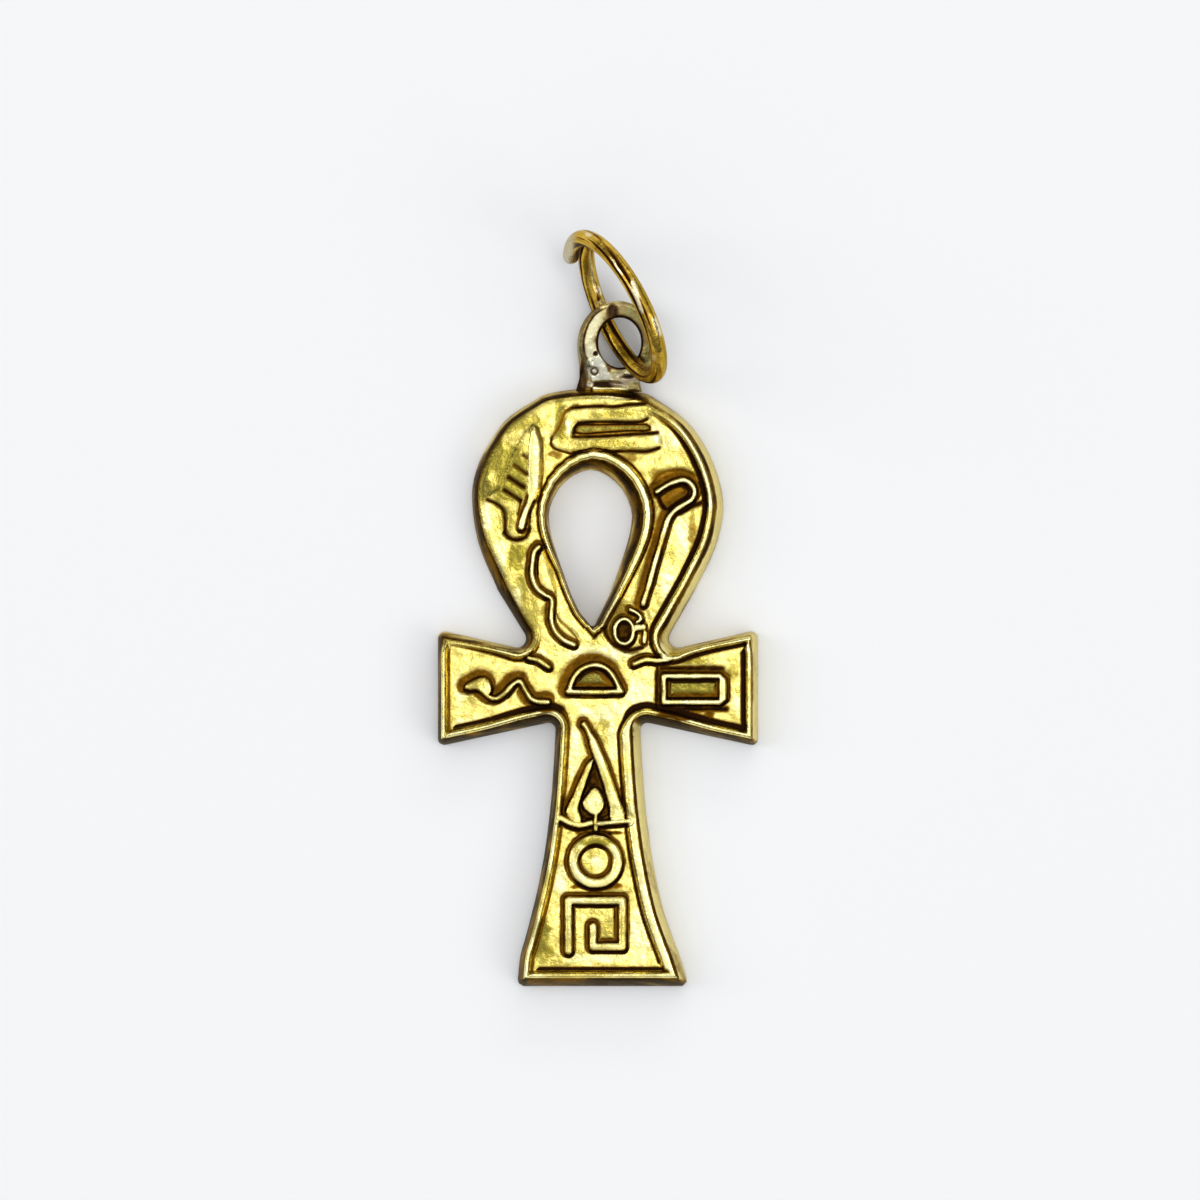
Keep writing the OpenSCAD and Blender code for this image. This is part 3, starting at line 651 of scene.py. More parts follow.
def relief(points, edge, hole_edge, way, bead_far):
    """Height of the face over the flat back at each point, and its stain and painted shade, olive, and
    painted highlight.
    """
    rise, stain, dip, pale = rims(points, edge, hole_edge, way, bead_far)
    wobble = 0.014 * noise(points, 0.35, SEED + 14) + 0.012 * noise(points, 0.9, SEED + 15)
    # the painted highlight on rims and signs comes and goes
    polish = 0.70 + 0.75 * noise(points, 1.2, SEED + 19) + 0.3 * noise(points, 0.4, SEED + 20)
    polish = np.clip(polish, 0.1, 1)
    none = np.zeros(len(points))
    face = SimpleNamespace(points=points, rise=rise, stain=stain, dip=dip, pale=pale * polish, olive=none,
                           floors=none, cover=none, wobble=wobble, polish=polish)
    cut_hollows(face)
    face.ridge = smooth(0.5, 0.8, face.rise / RIM_RISE)
    raise_signs(face)
    cut_grooves(face)
    colour_patches(face)
    z = FIELD_Z + face.rise
    z += 0.026 * noise(points, 1.7, SEED) + 0.010 * noise(points, 0.55, SEED + 1)
    z += 0.004 * noise(points, 0.2, SEED + 2)
    for depth in (edge, hole_edge):
        z -= BRINK_FALL * (1 - np.clip(depth / BRINK_WIDTH, 0, 1)) ** 2
    tints = {"stain": face.stain, "olive": face.olive, "pale": face.pale}
    return np.minimum(z, TOP_Z), {name: list(np.clip(v, 0, 1)) for name, v in tints.items()}


# Meshes

def mesh_object(name, vertices, faces):
    """A smooth-shaded object from vertices in millimetres."""
    mesh = bpy.data.meshes.new(name)
    mesh.from_pydata([Vector(v) * MM for v in vertices], [], faces)
    mesh.validate()
    mesh.polygons.foreach_set("use_smooth", [True] * len(mesh.polygons))
    obj = bpy.data.objects.new(name, mesh)
    bpy.context.scene.collection.objects.link(obj)
    return obj


def give(mesh, **tints):
    """Stores values at each vertex, for the materials to read."""
    for name, values in tints.items():
        attribute = mesh.attributes.new(name, "FLOAT", "POINT")
        attribute.data.foreach_set("value", np.array(values, np.float32))


def tube_faces(count, sides, closed=False, first=0):
    """Faces between count rings of points, and a cap on either end unless the last ring joins the first."""
    faces = []
    for i in range(count if closed else count - 1):
        k = (i + 1) % count
        for j in range(sides):
            m = (j + 1) % sides
            faces.append([i * sides + j, i * sides + m, k * sides + m, k * sides + j])
    if not closed:
        faces.append(list(range(sides))[::-1])
        faces.append([(count - 1) * sides + j for j in range(sides)])
    return [[first + v for v in face] for face in faces]


def boundary_loops(faces):
    """Ordered loops of the edges that belong to one face only, in the faces' own direction."""
    sides = dict.fromkeys((a, b) for face in faces for a, b in zip(face, face[1:] + face[:1]))
    after = {a: b for (a, b) in sides if (b, a) not in sides}
    loops = []
    while after:
        start, here = next(iter(after.items()))
        loop = [start]
        del after[start]
        while here != start:
            loop.append(here)
            here = after.pop(here)
        loops.append(loop)
    return sorted(loops, key=len, reverse=True)


def square_net():
    """A square net over the face: points, faces, and the loops of its outer border and of its hole."""
    lo, hi = outer.min(0) - GRID, outer.max(0) + GRID
    nx, ny = (np.ceil((hi - lo) / GRID)).astype(int) + 1
    gx, gy = np.meshgrid(lo[0] + GRID * np.arange(nx), lo[1] + GRID * np.arange(ny), indexing="ij")
    points = np.stack([gx.ravel(), gy.ravel()], 1)
    edge, hole_edge = edges(points)[:2]
    keep = (np.minimum(edge, hole_edge) > -0.35 * GRID).reshape(nx, ny)
    index = np.arange(nx * ny).reshape(nx, ny)
    corner = [index[:-1, :-1], index[1:, :-1], index[1:, 1:], index[:-1, 1:]]
    kept = [keep[:-1, :-1], keep[1:, :-1], keep[1:, 1:], keep[:-1, 1:]]
    total = sum(k.astype(int) for k in kept)
    faces = []
    for i, j in zip(*np.nonzero(total >= 3)):
        faces.append([int(c[i, j]) for c, k in zip(corner, kept) if k[i, j]])
    used = sorted({v for f in faces for v in f})
    renumber = {v: k for k, v in enumerate(used)}
    faces = [[renumber[v] for v in f] for f in faces]
    return points[used], faces, boundary_loops(faces)[:2]


def move_to_edges(points, rim):
    """Moves the border points onto the top edges of the walls."""
    step = 0.01
    for _ in range(6):
        p = points[rim]
        e, h = edges(p)[:2]
        ex, hx = edges(p + (step, 0))[:2]
        ey, hy = edges(p + (0, step))[:2]
        use_hole = h < e
        value = np.where(use_hole, h, e)
        grad = np.stack([np.where(use_hole, hx - h, ex - e), np.where(use_hole, hy - h, ey - e)], 1) / step
        grad /= np.maximum((grad**2).sum(1), 0.3)[:, None]
        points[rim] = p - value[:, None] * grad


def ease_near(points, faces, rim):
    """Evens out the points within two faces of the border."""
    pairs = np.array([pair for face in faces for pair in zip(face, face[1:] + face[:1])])
    fixed = np.zeros(len(points), bool)
    fixed[rim] = True
    near = fixed.copy()
    for _ in range(2):
        near[pairs[near[pairs].any(1)].ravel()] = True
    near &= ~fixed
    count = np.bincount(pairs.ravel(), minlength=len(points))
    for _ in range(4):
        total = np.zeros_like(points)
        for a, b in (pairs.T, pairs.T[::-1]):
            np.add.at(total, a, points[b])
        points[near] = (total / count[:, None])[near]


def face_net():
    """A net over the face, fitted to the top edges of its walls: points, faces, and the two edge loops."""
    points, faces, loops = square_net()
    rim = np.array(sorted(set(loops[0]) | set(loops[1])))
    move_to_edges(points, rim)
    ease_near(points, faces, rim)
    for loop in loops:
        for _ in range(2):
            p = points[loop]
            points[loop] = 0.5 * p + 0.25 * (np.roll(p, 1, axis=0) + np.roll(p, -1, axis=0))
    return points, faces, loops


def wall_stain(p, way, level, is_hole):
    """Stain and painted shade of a wall at points p, at this share of its height, where way is its outward
    direction.
    """
    cloud = 0.38 * noise(p + (2 * level, -1.5 * level), 0.9, SEED + 5)
    if is_hole:
        return np.clip(0.35 + 0.45 * smooth(0.5, 0.8, level) + cloud, 0, 1)
    loop = smooth(1.5, 3.5, p[:, 1])
    left = smooth(0.3, 0.8, -way[:, 0])
    right = smooth(0.3, 0.8, way[:, 0])
    under = smooth(0.3, 0.8, -way[:, 1])
    over = smooth(0.2, 0.6, way[:, 1]) * loop * (1 - right)
    # painted shade on walls that face left and down, and less on the arms' walls that face right
    base = 0.25 + 0.55 * left + 0.58 * under - 0.15 * right * (1 - loop)
    # painted light and shade on the loop's right and upper walls: a dark line along their top, and a bright
    # middle and a dim foot on the right one
    bright = 0.80 * smooth(0.80, 0.92, level) + 0.25 * (1 - smooth(0.15, 0.5, level))
    base = base + (bright - base) * right * loop
    base = base + (0.12 + 0.80 * smooth(0.72, 0.88, level) - base) * over
    return np.clip(base + cloud, 0, 1)


def wall_run(top, wall, is_hole):
    """The way out from each point of a wall's top, and how far off the wall's widest place is that way."""
    _, foot = nearest(top, wall, closed=True)
    out = foot - top
    for _ in range(6):
        out = (out + np.roll(out, 1, axis=0) + np.roll(out, -1, axis=0)) / 3
    out /= np.linalg.norm(out, axis=1)[:, None]
    reach = np.linalg.norm(foot - top, axis=1)
    for _ in range(5):
        p = top + out * reach[:, None]
        d, _ = nearest(p, wall, closed=True)
        reach += np.where(inside(p, wall) != is_hole, d, -d)
    return out, reach


# Section of a wall, from its top down. Rows: share of the way out to the widest place, share of the height
WALL_SECTION = [
    (0.10, 0.965), (0.24, 0.90), (0.42, 0.78), (0.60, 0.62), (0.76, 0.44), (0.90, 0.22), (1.0, 0.0),
]
WALL_HIGHLIGHT = 0.7
WALL_OLIVE = 0.15
BACK_STAIN = 0.4


def wall_rows(top, heights, wall, is_hole):
    """Rows of points down a wall and round the back's bevel: place, height, stain and painted shade, and
    painted highlight.
    """
    out, reach = wall_run(top, wall, is_hole)
    grain = noise(top, 0.5, SEED + 3) * 0.5 + noise(top, 0.17, SEED + 4) * 0.5
    # walls that face right get a painted highlight, and the hole's wall none
    polish = (0 if is_hole else WALL_HIGHLIGHT) * smooth(0.4, 0.8, out[:, 0])
    rows = []
    for share, level in WALL_SECTION:
        p = top + out * (reach * share)[:, None]
        p -= out * (0.012 * grain * math.sin(math.pi * share))[:, None]
        h = BACK_EDGE + (heights - BACK_EDGE) * level
        rows.append((p, h, wall_stain(p, out, level, is_hole), polish))
    bevel = top + out * (reach - BACK_EDGE)[:, None]
    rows.append((bevel, 0 * heights, BACK_STAIN + 0 * heights, 0 * heights))
    return rows


def walled(points, faces, loops):
    """Closes the face with leaning walls: vertices and faces in millimetres, tints, and the back's loops."""
    edge, hole_edge, way, bead_far = edges(points)
    z, tints = relief(points, edge, hole_edge, way, bead_far)
    vertices = [(*p, h) for p, h in zip(points, z)]
    back_loops = []
    for loop, wall, is_hole in zip(loops, (outer, hole), (False, True)):
        upper = loop
        for p, h, stain, pale in wall_rows(points[loop], z[loop], wall, is_hole):
            lower = list(range(len(vertices), len(vertices) + len(loop)))
            vertices += [(*q, k) for q, k in zip(p, h)]
            tints["stain"] += list(stain)
            tints["pale"] += list(pale)
            faces = faces + bridge(upper, lower)
            upper = lower
        back_loops.append(upper)
    tints["olive"] += [WALL_OLIVE] * (len(vertices) - len(tints["olive"]))
    return vertices, faces, tints, back_loops


def bridge(upper, lower):
    """Faces between two loops with as many points each."""
    n = len(upper)
    return [[upper[(i + 1) % n], upper[i], lower[i], lower[(i + 1) % n]] for i in range(n)]


def ankh_body():
    """The cast pendant without its eye."""
    vertices, faces, tints, back_loops = walled(*face_net())
    obj = mesh_object("ankh_body", vertices, faces)
    give(obj.data, **tints)
    bm = bmesh.new()
    bm.from_mesh(obj.data)
    bm.verts.ensure_lookup_table()
    back_edges = []
    for loop in back_loops:
        for a, b in zip(loop, loop[1:] + loop[:1]):
            back_edges.append(bm.edges.get((bm.verts[a], bm.verts[b])))
    made = bmesh.ops.triangle_fill(bm, edges=back_edges, use_beauty=False, normal=(0, 0, -1))
    for part in made["geom"]:
        if isinstance(part, bmesh.types.BMFace):
            part.smooth = False
    bmesh.ops.recalc_face_normals(bm, faces=bm.faces)
    bm.to_mesh(obj.data)
    bm.free()
    return obj


# Jump ring

# Painted highlights on the upper side of the wire. Rows: two ends and half width
RING_HIGHLIGHTS_PX = [
    ((632, 286), (641, 313), 3.6), ((598, 290), (600, 292), 3.2), ((600, 302), (601, 304), 3.0),
    ((645, 352), (651, 361), 4.2), ((654, 322), (659, 335), 2.4), ((613, 263), (620, 276), 2.0),
    ((588, 236), (602, 234), 3.0),
]
# The wire is grey to the left of this column
RING_GREY_PX = 578
RING_RADIUS = (RING_OD - WIRE_D) / 2
RING_STEPS = 200
RING_SIDES = 40
# The dressed wire is a little thinner than the solid one, so that it stays inside it
WIRE_SHARE = 0.965
# Share of the wire's thickness at each cut end and one step in, for a small bevel
END_SHARES = (0.86, 0.96)


def ring_stations():
    """Stations along the wire: its centre, and the two directions across it."""
    turn, tip = math.radians(RING_TURN), math.radians(RING_LEAN)
    far = np.array([math.cos(turn), math.sin(turn), 0])
    side = np.array([math.sin(turn), -math.cos(turn), 0])
    up = np.array([0, 0, math.cos(tip)]) + side * math.sin(tip)
    normal = np.cross(up, far)
    shift = WIRE_D + END_GAP
    hold = EYE_IN_H / 2 + WIRE_D * RING_PAST
    height = RING_FOOT + RING_RADIUS * math.cos(tip) + WIRE_D / 2 + normal[2] * shift / 4
    middle = np.array([EYE_X, EYE_Y, height]) + far * (RING_RADIUS - hold)
    middle = middle + side * (RING_RADIUS * math.sin(tip) - WIRE_D * RING_ASIDE)
    level_share = 0.5 + RING_JOIN / (360 + RING_LAP)
    stations = []
    for i in range(RING_STEPS + 1):
        s = i / RING_STEPS
        t = math.radians((360 + RING_LAP) * s - RING_LAP / 2 - RING_JOIN)
        out = far * math.cos(t) + up * math.sin(t)
        stations.append((middle + RING_RADIUS * out + normal * shift * (level_share - s), out, normal))
    return stations


def jump_ring():
    """The open ring, a tube of round wire."""
    vertices = []
    for i, (centre, out, normal) in enumerate(ring_stations()):
        from_end = min(i, RING_STEPS - i)
        r = WIRE_D / 2 * WIRE_SHARE * (*END_SHARES, 1)[min(from_end, 2)]
        for k in range(RING_SIDES):
            t = 2 * math.pi * k / RING_SIDES
            vertices.append(centre + out * (r * math.cos(t)) + normal * (r * math.sin(t)))
    obj = mesh_object("jump_ring_wire", vertices, tube_faces(RING_STEPS + 1, RING_SIDES))
    tint_ring(obj.data)
    return obj


def tint_ring(mesh):
    """Streaks of tarnish, drawing marks and painted dark reflection along the wire, painted shade under it,
    painted highlights, and its grey end.
    """
    along = np.repeat(np.arange(RING_STEPS + 1) / RING_STEPS * 2 * math.pi * RING_RADIUS, RING_SIDES)
    turn = np.tile(np.arange(RING_SIDES) / RING_SIDES * 2 * math.pi, RING_STEPS + 1)
    place = np.stack([0.10 * along + np.cos(turn), np.sin(turn)], 1)
    streak = noise(place, 0.42, SEED + 11) + 0.4 * noise(place, 0.2, SEED + 12)
    points = np.array([v.co[:2] for v in mesh.vertices]) / MM
    up = np.array([v.normal.z for v in mesh.vertices])
    # painted highlights: random glints, and the listed spots on the wire's upper side
    glint = 0.5 * smooth(0.3, 0.7, noise(place, 0.6, SEED + 16))
    for *line, half in RING_HIGHLIGHTS_PX:
        d, _ = nearest(points, mm(line))
        spot = 1 - smooth(0.5 * half * PX, 1.2 * half * PX, d + 0.08 * streak)
        glint = np.maximum(glint, spot * smooth(0.2, 0.6, up))
    # tarnish and painted dark reflection in the streaks, and painted shade on the wire's underside
    stain = np.maximum(smooth(0.10, 0.60, streak), smooth(0.25, -0.1, up) * 0.7)
    grey = smooth(0, 0.45, mm((RING_GREY_PX, 0))[0] - points[:, 0])
    give(mesh, stain=stain * (1 - glint) * (1 - grey), olive=0.5 * smooth(0.0, 0.6, -streak), pale=glint,
         solder=grey)


# Eye

# Edge between the eye's flat face and its rounded outer wall, on the left, from the top down
EYE_EDGE_PX = [
    (606, 309), (600, 312), (594, 317), (589, 324), (586, 332), (584.2, 340), (584, 347), (585.5, 354),
    (588.5, 360), (591.5, 367), (592, 384),
]
# The edge's dark line of painted shade starts softly between the first two heights and stops at the third
EYE_EDGE_TOP_PX = (304, 312)
EYE_EDGE_FOOT_PX = 392

# Marks on the eye. Rows: centre, half width, half height, share of solder, darkness, and lift in millimetres
EYE_MARKS_PX = [
    (598, 368, 12, 15, 1.0, 0.0, 0.0), (606, 378, 9, 5, 1.0, 0.0, 0.0), (590, 352, 5, 8, 0.4, 0.2, 0.0),
    (643, 380, 5, 4, 0.8, 0.0, 0.0), (614, 379, 6, 4, 0.5, 0.0, 0.03),
    (605, 384.5, 17, 3.6, 0.0, 0.95, -0.10), (624, 380, 15, 9, 0.35, 0.40, -0.09),
    (628, 377.3, 8, 1.6, 0.0, 0.95, -0.05), (612.5, 312, 6.5, 9, 0.0, 0.80, -0.03),
    (630, 374, 6, 2, 0.5, 0.0, 0.10), (632, 386, 5, 4, 0.0, 0.2, 0.04),
    (595.7, 354, 2.5, 2.5, 0.0, 1.0, -0.10), (594.4, 371.7, 5, 5, 0.0, 1.0, -0.06),
    (594.4, 371.7, 2.6, 2.6, 0.9, 0.0, 0.07), (590, 363, 3, 4, 0.7, 0.0, 0.04),
    (590, 385, 4, 3, 0.5, 0.2, 0.05), (579, 350, 3, 20, 0.2, 0.0, 0.0), (584, 380, 3, 9, 0.0, 0.7, -0.04),
    (609, 366, 2.5, 8, 0.0, 0.7, -0.03),
]

# Plan of the wedge of metal under the band, wider where it meets the loop
EYE_FOOT_PX = [
    (578, 342), (577.5, 352), (579.5, 366), (579.5, 378), (575.5, 392), (642, 392), (640, 384), (634, 373),
    (608, 366), (598, 352), (594, 338),
]
# Its section. Rows: height from the eye's middle in millimetres, and size as a share of the plan
EYE_FOOT_SECTION = [(-0.36, 0.951), (-0.26, 1.0), (0.22, 1.0), (0.34, 0.944)]
EYE_STEPS = 72
EYE_SIDES = 24


def eye_level(y):
    """Height of the middle of the eye's metal, which rises away from the loop."""
    return EYE_MID_Z + (y - EYE_Y) * math.tan(math.radians(EYE_TILT))


def squarish(value):
    """Changes a sine or cosine so that the two draw a circle with flattened sides."""
    return math.copysign(abs(value) ** 0.62, value)


def eye():
    """The eye: an oval band and its foot, fused into one lumpy piece."""
    vertices = []
    for i in range(EYE_STEPS):
        t = 2 * math.pi * i / EYE_STEPS
        half = EYE_BAND * (1 - EYE_TOP_THIN * math.sin(t) - EYE_RIGHT_THIN * math.cos(t)) / 2
        for j in range(EYE_SIDES):
            u = 2 * math.pi * j / EYE_SIDES
            r = half + half * squarish(math.cos(u))
            y = EYE_Y + (EYE_IN_H / 2 + r) * math.sin(t)
            z = eye_level(y) + EYE_THICK / 2 * squarish(math.sin(u))
            vertices.append((EYE_X + (EYE_IN_W / 2 + r) * math.cos(t), y, z))
    faces = tube_faces(EYE_STEPS, EYE_SIDES, closed=True)
    foot = mm(EYE_FOOT_PX)
    middle = foot.mean(0)
    faces += tube_faces(len(EYE_FOOT_SECTION), len(foot), first=len(vertices))
    for lift, size in EYE_FOOT_SECTION:
        for q in foot:
            p = middle + (q - middle) * size
            vertices.append((*p, eye_level(p[1]) + lift))
    obj = mesh_object("eye", vertices, faces)
    fuse(obj)
    weather(obj.data)
    return obj


def fuse(obj):
    """Makes one even mesh of the object's overlapping parts, and softens their edges."""
    remesh = obj.modifiers.new("fuse", "REMESH")
    remesh.mode = "VOXEL"
    remesh.voxel_size = 0.05 * MM
    remesh.use_smooth_shade = True
    ease = obj.modifiers.new("ease", "SMOOTH")
    ease.factor = 0.5
    ease.iterations = 5
    bpy.context.view_layer.update()
    graph = bpy.context.evaluated_depsgraph_get()
    mesh = bpy.data.meshes.new_from_object(obj.evaluated_get(graph))
    obj.modifiers.clear()
    obj.data = mesh


def weather(mesh):
    """Lumps, pits, stains, painted shade and highlight, and the solder's grey patch on the eye's upper side.
    """
    co = np.array([v.co for v in mesh.vertices]) / MM
    up = np.array([v.normal.z for v in mesh.vertices])
    points = co[:, :2]
    x, y = points.T
    lift = 0.006 * noise(points, 0.35, SEED + 6)
    solder = np.zeros(len(points))
    stain = np.clip(0.15 + 0.35 * noise(points, 0.6, SEED + 8), 0, 1)
    # painted shade darkens the band's inner edge, and the corner between its flat face and its outer wall
    r = np.hypot((x - EYE_X) / (EYE_IN_W / 2), (y - EYE_Y) / (EYE_IN_H / 2))
    stain = np.maximum(stain, 0.95 * (1 - smooth(1.05, 1.18, r)))
    edge = np.array(EYE_EDGE_PX)
    across, down = ORIGIN_PX[0] + x * PX_PER_MM, ORIGIN_PX[1] - y * PX_PER_MM
    beyond = np.interp(down, edge[:, 1], edge[:, 0]) - across
    beside = smooth(*EYE_EDGE_TOP_PX, down) * (down < EYE_EDGE_FOOT_PX)
    stain = np.maximum(stain, 0.9 * np.exp(-((beyond - 0.5) / 1.5) ** 2) * beside)
    # painted shade on the outer wall beyond the edge, darker further out
    wall = smooth(0, 2, beyond) * beside
    stain = np.maximum(stain, wall * (0.25 + 0.6 * smooth(4, 8, beyond)))
    lift -= wall * (0.04 + 0.26 * np.clip(beyond / 10, 0, 1) ** 2)
    for cx, cy, rx, ry, grey, dark, raise_by in EYE_MARKS_PX:
        c = mm((cx, cy))
        far = np.hypot((x - c[0]) * PX_PER_MM / rx, (y - c[1]) * PX_PER_MM / ry)
        w = (1 - smooth(0.6, 1.2, far)) * smooth(0.1, 0.5, up)
        solder = solder * (1 - w) + grey * w
        stain = stain * (1 - w) + dark * w
        lift += raise_by * w
    for v, h in zip(mesh.vertices, lift):
        v.co.z += float(h) * MM
    # painted shade dims the right side, and a painted highlight brightens the left side
    east = x - EYE_X
    shaded_side = smooth(-0.5, 0.9, east + 0.5 * noise(points, 0.8, SEED + 13))
    worn = smooth(0.1, 0.6, 0.2 * noise(points, 0.4, SEED + 17) - east - 0.7)
    give(mesh, stain=stain, solder=solder, olive=0.5 * np.maximum(shaded_side, wall), pale=0.8 * worn * (1 - wall))


# Materials

class Graph:
    """A material's node tree, with short calls to add and link nodes."""

    def __init__(self, name):
        self.material = bpy.data.materials.new(name)
        self.material.use_nodes = True
        self.nodes = self.material.node_tree.nodes
        self.links = self.material.node_tree.links
        self.shader = next(n for n in self.nodes if n.type == "BSDF_PRINCIPLED")
        self.place = self.add("ShaderNodeTexCoord").outputs["Object"]

    def add(self, kind, **settings):
        node = self.nodes.new(kind)
        for key, value in settings.items():
            setattr(node, key, value)
        return node

    def put(self, source, socket):
        if hasattr(source, "is_output"):
            self.links.new(source, socket)
        else:
            socket.default_value = source

    def noise(self, size, detail=4, rough=0.55):
        node = self.add("ShaderNodeTexNoise")
        self.put(self.place, node.inputs["Vector"])
        node.inputs["Scale"].default_value = 1 / (size * MM)
        node.inputs["Detail"].default_value = detail
        node.inputs["Roughness"].default_value = rough
        return node.outputs["Fac"]

    def attribute(self, name):
        return self.add("ShaderNodeAttribute", attribute_name=name).outputs["Fac"]

    def math(self, operation, a, b, clamp=False):
        node = self.add("ShaderNodeMath", operation=operation, use_clamp=clamp)
        self.put(a, node.inputs[0])
        self.put(b, node.inputs[1])
        return node.outputs[0]

    def times(self, a, b):
        return self.math("MULTIPLY", a, b)

    def fade(self, source, lo, hi, start=0.0, end=1.0):
        """Start where the source is under lo, end where it is over hi, and an even change between."""
        node = self.add("ShaderNodeValToRGB")
        for element, at, value in zip(node.color_ramp.elements, (lo, hi), (start, end)):
            element.position = at
            element.color = (value, value, value, 1)
        self.put(source, node.inputs["Fac"])
        return node.outputs["Color"]

    def mix(self, share, a, b):
        node = self.add("ShaderNodeMix", data_type="RGBA")
        self.put(share, node.inputs["Factor"])
        for source, name in ((a, "A"), (b, "B")):
            socket = [s for s in node.inputs if s.name == name and s.type == "RGBA"][0]
            self.put(source if hasattr(source, "is_output") else (*source, 1), socket)
        return [s for s in node.outputs if s.type == "RGBA"][0]

    def bump(self, height, distance, strength, under=None):
        node = self.add("ShaderNodeBump")
        self.put(height, node.inputs["Height"])
        node.inputs["Distance"].default_value = distance * MM
        node.inputs["Strength"].default_value = strength
        if under is not None:
            self.put(under, node.inputs["Normal"])
        return node.outputs["Normal"]


# Light and dark grey of the solder
SOLDER = ((0.66, 0.64, 0.55), (0.42, 0.41, 0.34))


def gold(name, pale, bright, olive, shade, amber, deep, silver=False):
    """Worn gold: olive clouds, partly painted dim reflection and shade, on the bright metal, painted
    highlights, and amber to dark brown for tarnish and painted shade where it is stained.
    """
    g = Graph(name)
    stain = g.attribute("stain")
    cloud = g.noise(1.1, 5, 0.65)
    fine = g.noise(0.12, 5)
    speck = g.noise(0.35, 4, 0.7)
    dirt_and_shade = g.math("ADD", stain, g.times(g.math("SUBTRACT", speck, 0.5), 0.55))
    dirt_and_shade = g.math("MULTIPLY", g.math("GREATER_THAN", stain, 0.02), dirt_and_shade, clamp=True)
    patches = g.times(g.fade(cloud, 0.46, 0.62), 0.36)
    freckles = g.times(g.fade(speck, 0.52, 0.68), 0.30)
    # olive: random clouds and freckles, and painted dim reflection and shade from the olive attribute
    green = g.math("MAXIMUM", g.math("MAXIMUM", patches, freckles), g.attribute("olive"))
    tone = g.mix(g.fade(green, 0.0, 0.5), bright, olive)
    tone = g.mix(g.fade(green, 0.5, 1.0), tone, shade)
    # painted highlights
    tone = g.mix(g.times(g.attribute("pale"), 0.85), tone, pale)
    # amber to dark brown for tarnish and painted shade
    tone = g.mix(g.fade(dirt_and_shade, 0.15, 0.50), tone, amber)
    colour = g.mix(g.fade(dirt_and_shade, 0.50, 0.85), tone, deep)
    if silver:
        colour = g.mix(g.times(g.attribute("solder"), 0.85), colour, g.mix(fine, *SOLDER))
    g.put(colour, g.shader.inputs["Base Color"])
    # thick tarnish and painted shade are a dark skin over the metal
    g.put(g.fade(dirt_and_shade, 0.55, 0.90, 1.0, 0.75), g.shader.inputs["Metallic"])
    g.shader.inputs["Specular IOR Level"].default_value = 0.1
    g.shader.inputs["Specular Tint"].default_value = (0.85, 0.76, 0.55, 1)
    rough = g.math("ADD", g.times(dirt_and_shade, 0.28), g.times(fine, 0.16))
    g.put(g.math("ADD", rough, 0.14), g.shader.inputs["Roughness"])
    normal = g.bump(g.noise(0.7, 4), 0.10, 0.8)
    g.put(g.bump(fine, 0.012, 0.7, normal), g.shader.inputs["Normal"])
    return g.material


def floor_material():
    g = Graph("pale_floor")
    g.shader.inputs["Base Color"].default_value = (0.95, 0.95, 0.947, 1)
    g.shader.inputs["Roughness"].default_value = 0.75
    return g.material


def dress(obj, material, node):
    """Gives the object its material, and puts it in the place of the CAD node."""
    obj.data.materials.clear()
    obj.data.materials.append(material)
    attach(obj, "root")
    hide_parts(node)


CAST = gold(
    "cast_gold", pale=(1.0, 0.935, 0.47), bright=(0.95, 0.765, 0.20), olive=(0.29, 0.235, 0.03),
    shade=(0.09, 0.072, 0.018), amber=(0.21, 0.092, 0.004), deep=(0.016, 0.005, 0.001),
)
EYE = gold(
    "eye_gold", pale=(1.0, 0.96, 0.62), bright=(0.80, 0.70, 0.30), olive=(0.30, 0.26, 0.09),
    shade=(0.12, 0.10, 0.05), amber=(0.26, 0.145, 0.055), deep=(0.024, 0.011, 0.004), silver=True,
)
RING = gold(
    "ring_gold", pale=(1.0, 0.92, 0.60), bright=(0.74, 0.47, 0.07), olive=(0.36, 0.23, 0.012),
    shade=(0.14, 0.08, 0.01), amber=(0.18, 0.06, 0.003), deep=(0.018, 0.005, 0.001), silver=True,
)

dress(ankh_body(), CAST, "ankh")
dress(eye(), EYE, "ankh")
dress(jump_ring(), RING, "jump_ring")


# Floor, light and camera, in metres

FLOOR_SIZE = 3.0
# Soft lights that aim at the origin. Rows: name, place, size, and power in watts
LIGHTS = [
    ("overhead", (0.09, 0.07, 0.60), (0.17, 0.17), 0.35),
    ("left_fill", (-0.50, 0.10, 0.40), (0.25, 0.5), 0.7),
    ("right_fill", (0.45, -0.25, 0.40), (0.4, 0.25), 0.5),
    ("top_edge", (0.15, 0.60, 0.30), (0.5, 0.12), 0.4),
]
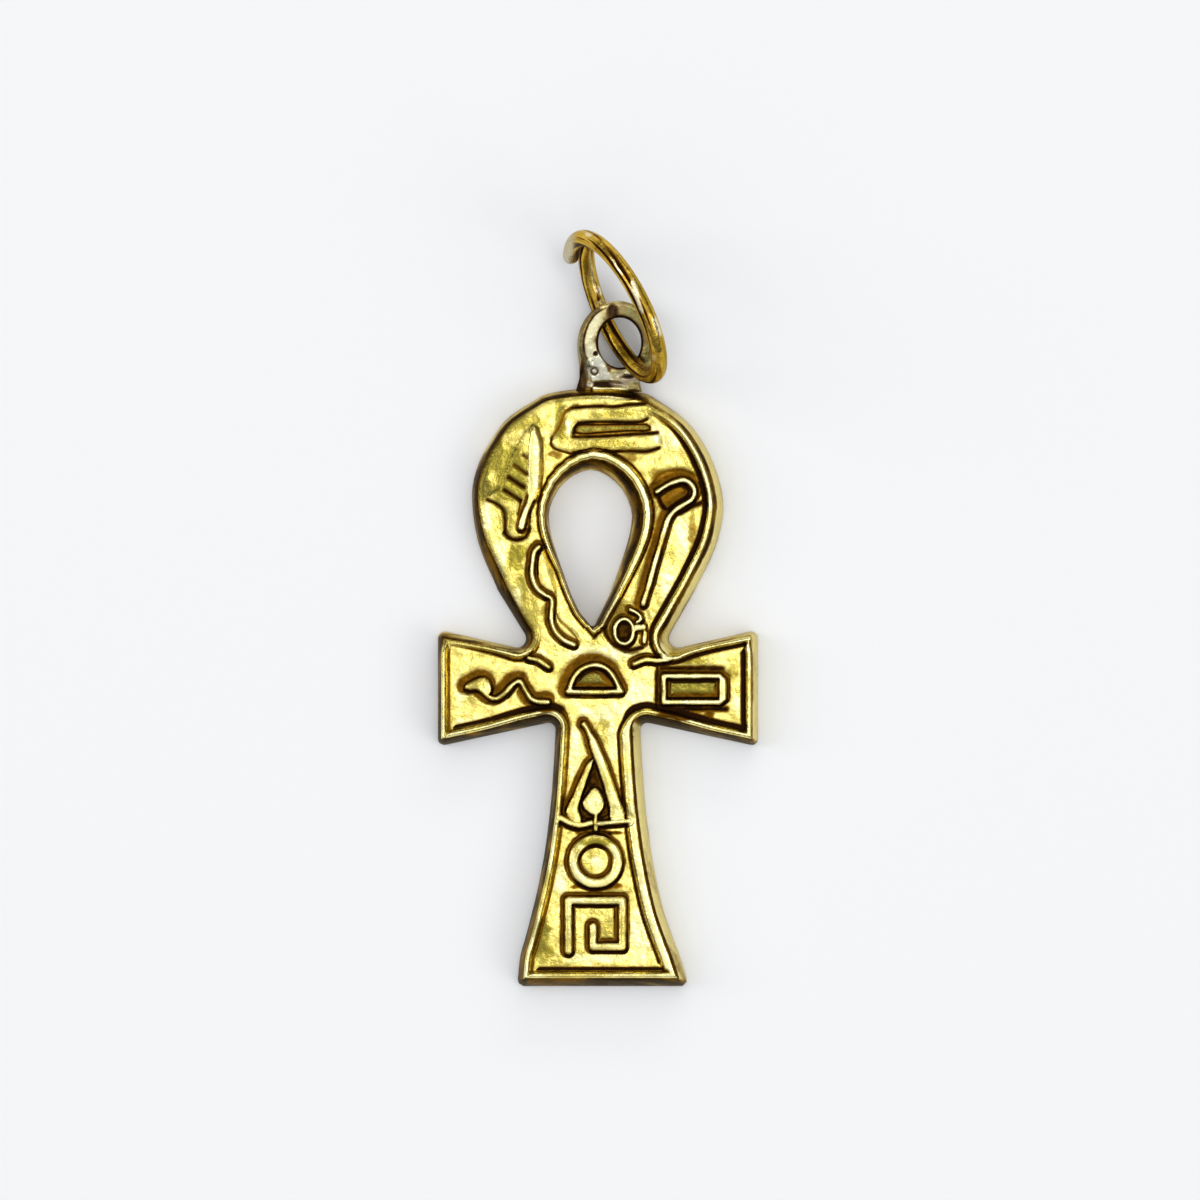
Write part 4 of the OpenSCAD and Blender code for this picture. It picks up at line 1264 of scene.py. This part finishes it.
# The sky is dim up to the first height and pale over the second. Rows: height from 0 to 1, and colour
SKY = [(0.25, (0.10, 0.10, 0.105, 1)), (0.95, (0.95, 0.97, 1.0, 1))]
SKY_STRENGTH = 1.1
CAMERA_HEIGHT = 0.9
SENSOR = 36


def stage():
    bpy.ops.mesh.primitive_plane_add(size=FLOOR_SIZE, location=(0, 0, 0))
    floor = bpy.context.object
    floor.name = "floor"
    floor.data.materials.append(floor_material())


def lights():
    for name, at, size, power in LIGHTS:
        data = bpy.data.lights.new(name, "AREA")
        data.shape = "RECTANGLE"
        data.size, data.size_y = size
        data.energy = power
        obj = bpy.data.objects.new(name, data)
        bpy.context.scene.collection.objects.link(obj)
        obj.location = at
        obj.rotation_euler = (-Vector(at)).to_track_quat("-Z", "Y").to_euler()


def sky():
    """Pale overhead and dim towards the horizon, so that the slopes of the relief read dark."""
    world = bpy.data.worlds.new("studio")
    bpy.context.scene.world = world
    world.use_nodes = True
    nodes, links = world.node_tree.nodes, world.node_tree.links
    place = nodes.new("ShaderNodeTexCoord")
    split = nodes.new("ShaderNodeSeparateXYZ")
    ramp = nodes.new("ShaderNodeValToRGB")
    for element, (at, colour) in zip(ramp.color_ramp.elements, SKY):
        element.position = at
        element.color = colour
    links.new(place.outputs["Generated"], split.inputs[0])
    links.new(split.outputs["Z"], ramp.inputs["Fac"])
    links.new(ramp.outputs["Color"], nodes["Background"].inputs["Color"])
    nodes["Background"].inputs["Strength"].default_value = SKY_STRENGTH


def camera():
    """Straight above the face, with a long lens, framed as the photograph is."""
    middle = mm((FRAME_PX / 2, FRAME_PX / 2)) * MM
    data = bpy.data.cameras.new("camera")
    data.sensor_width = SENSOR
    data.lens = SENSOR * CAMERA_HEIGHT / (FRAME_PX / PX_PER_MM * MM)
    obj = bpy.data.objects.new("camera", data)
    obj.location = (middle[0], middle[1], CAMERA_HEIGHT)
    bpy.context.scene.collection.objects.link(obj)
    bpy.context.scene.camera = obj


stage()
lights()
sky()
camera()
bpy.context.scene.view_settings.view_transform = "Standard"
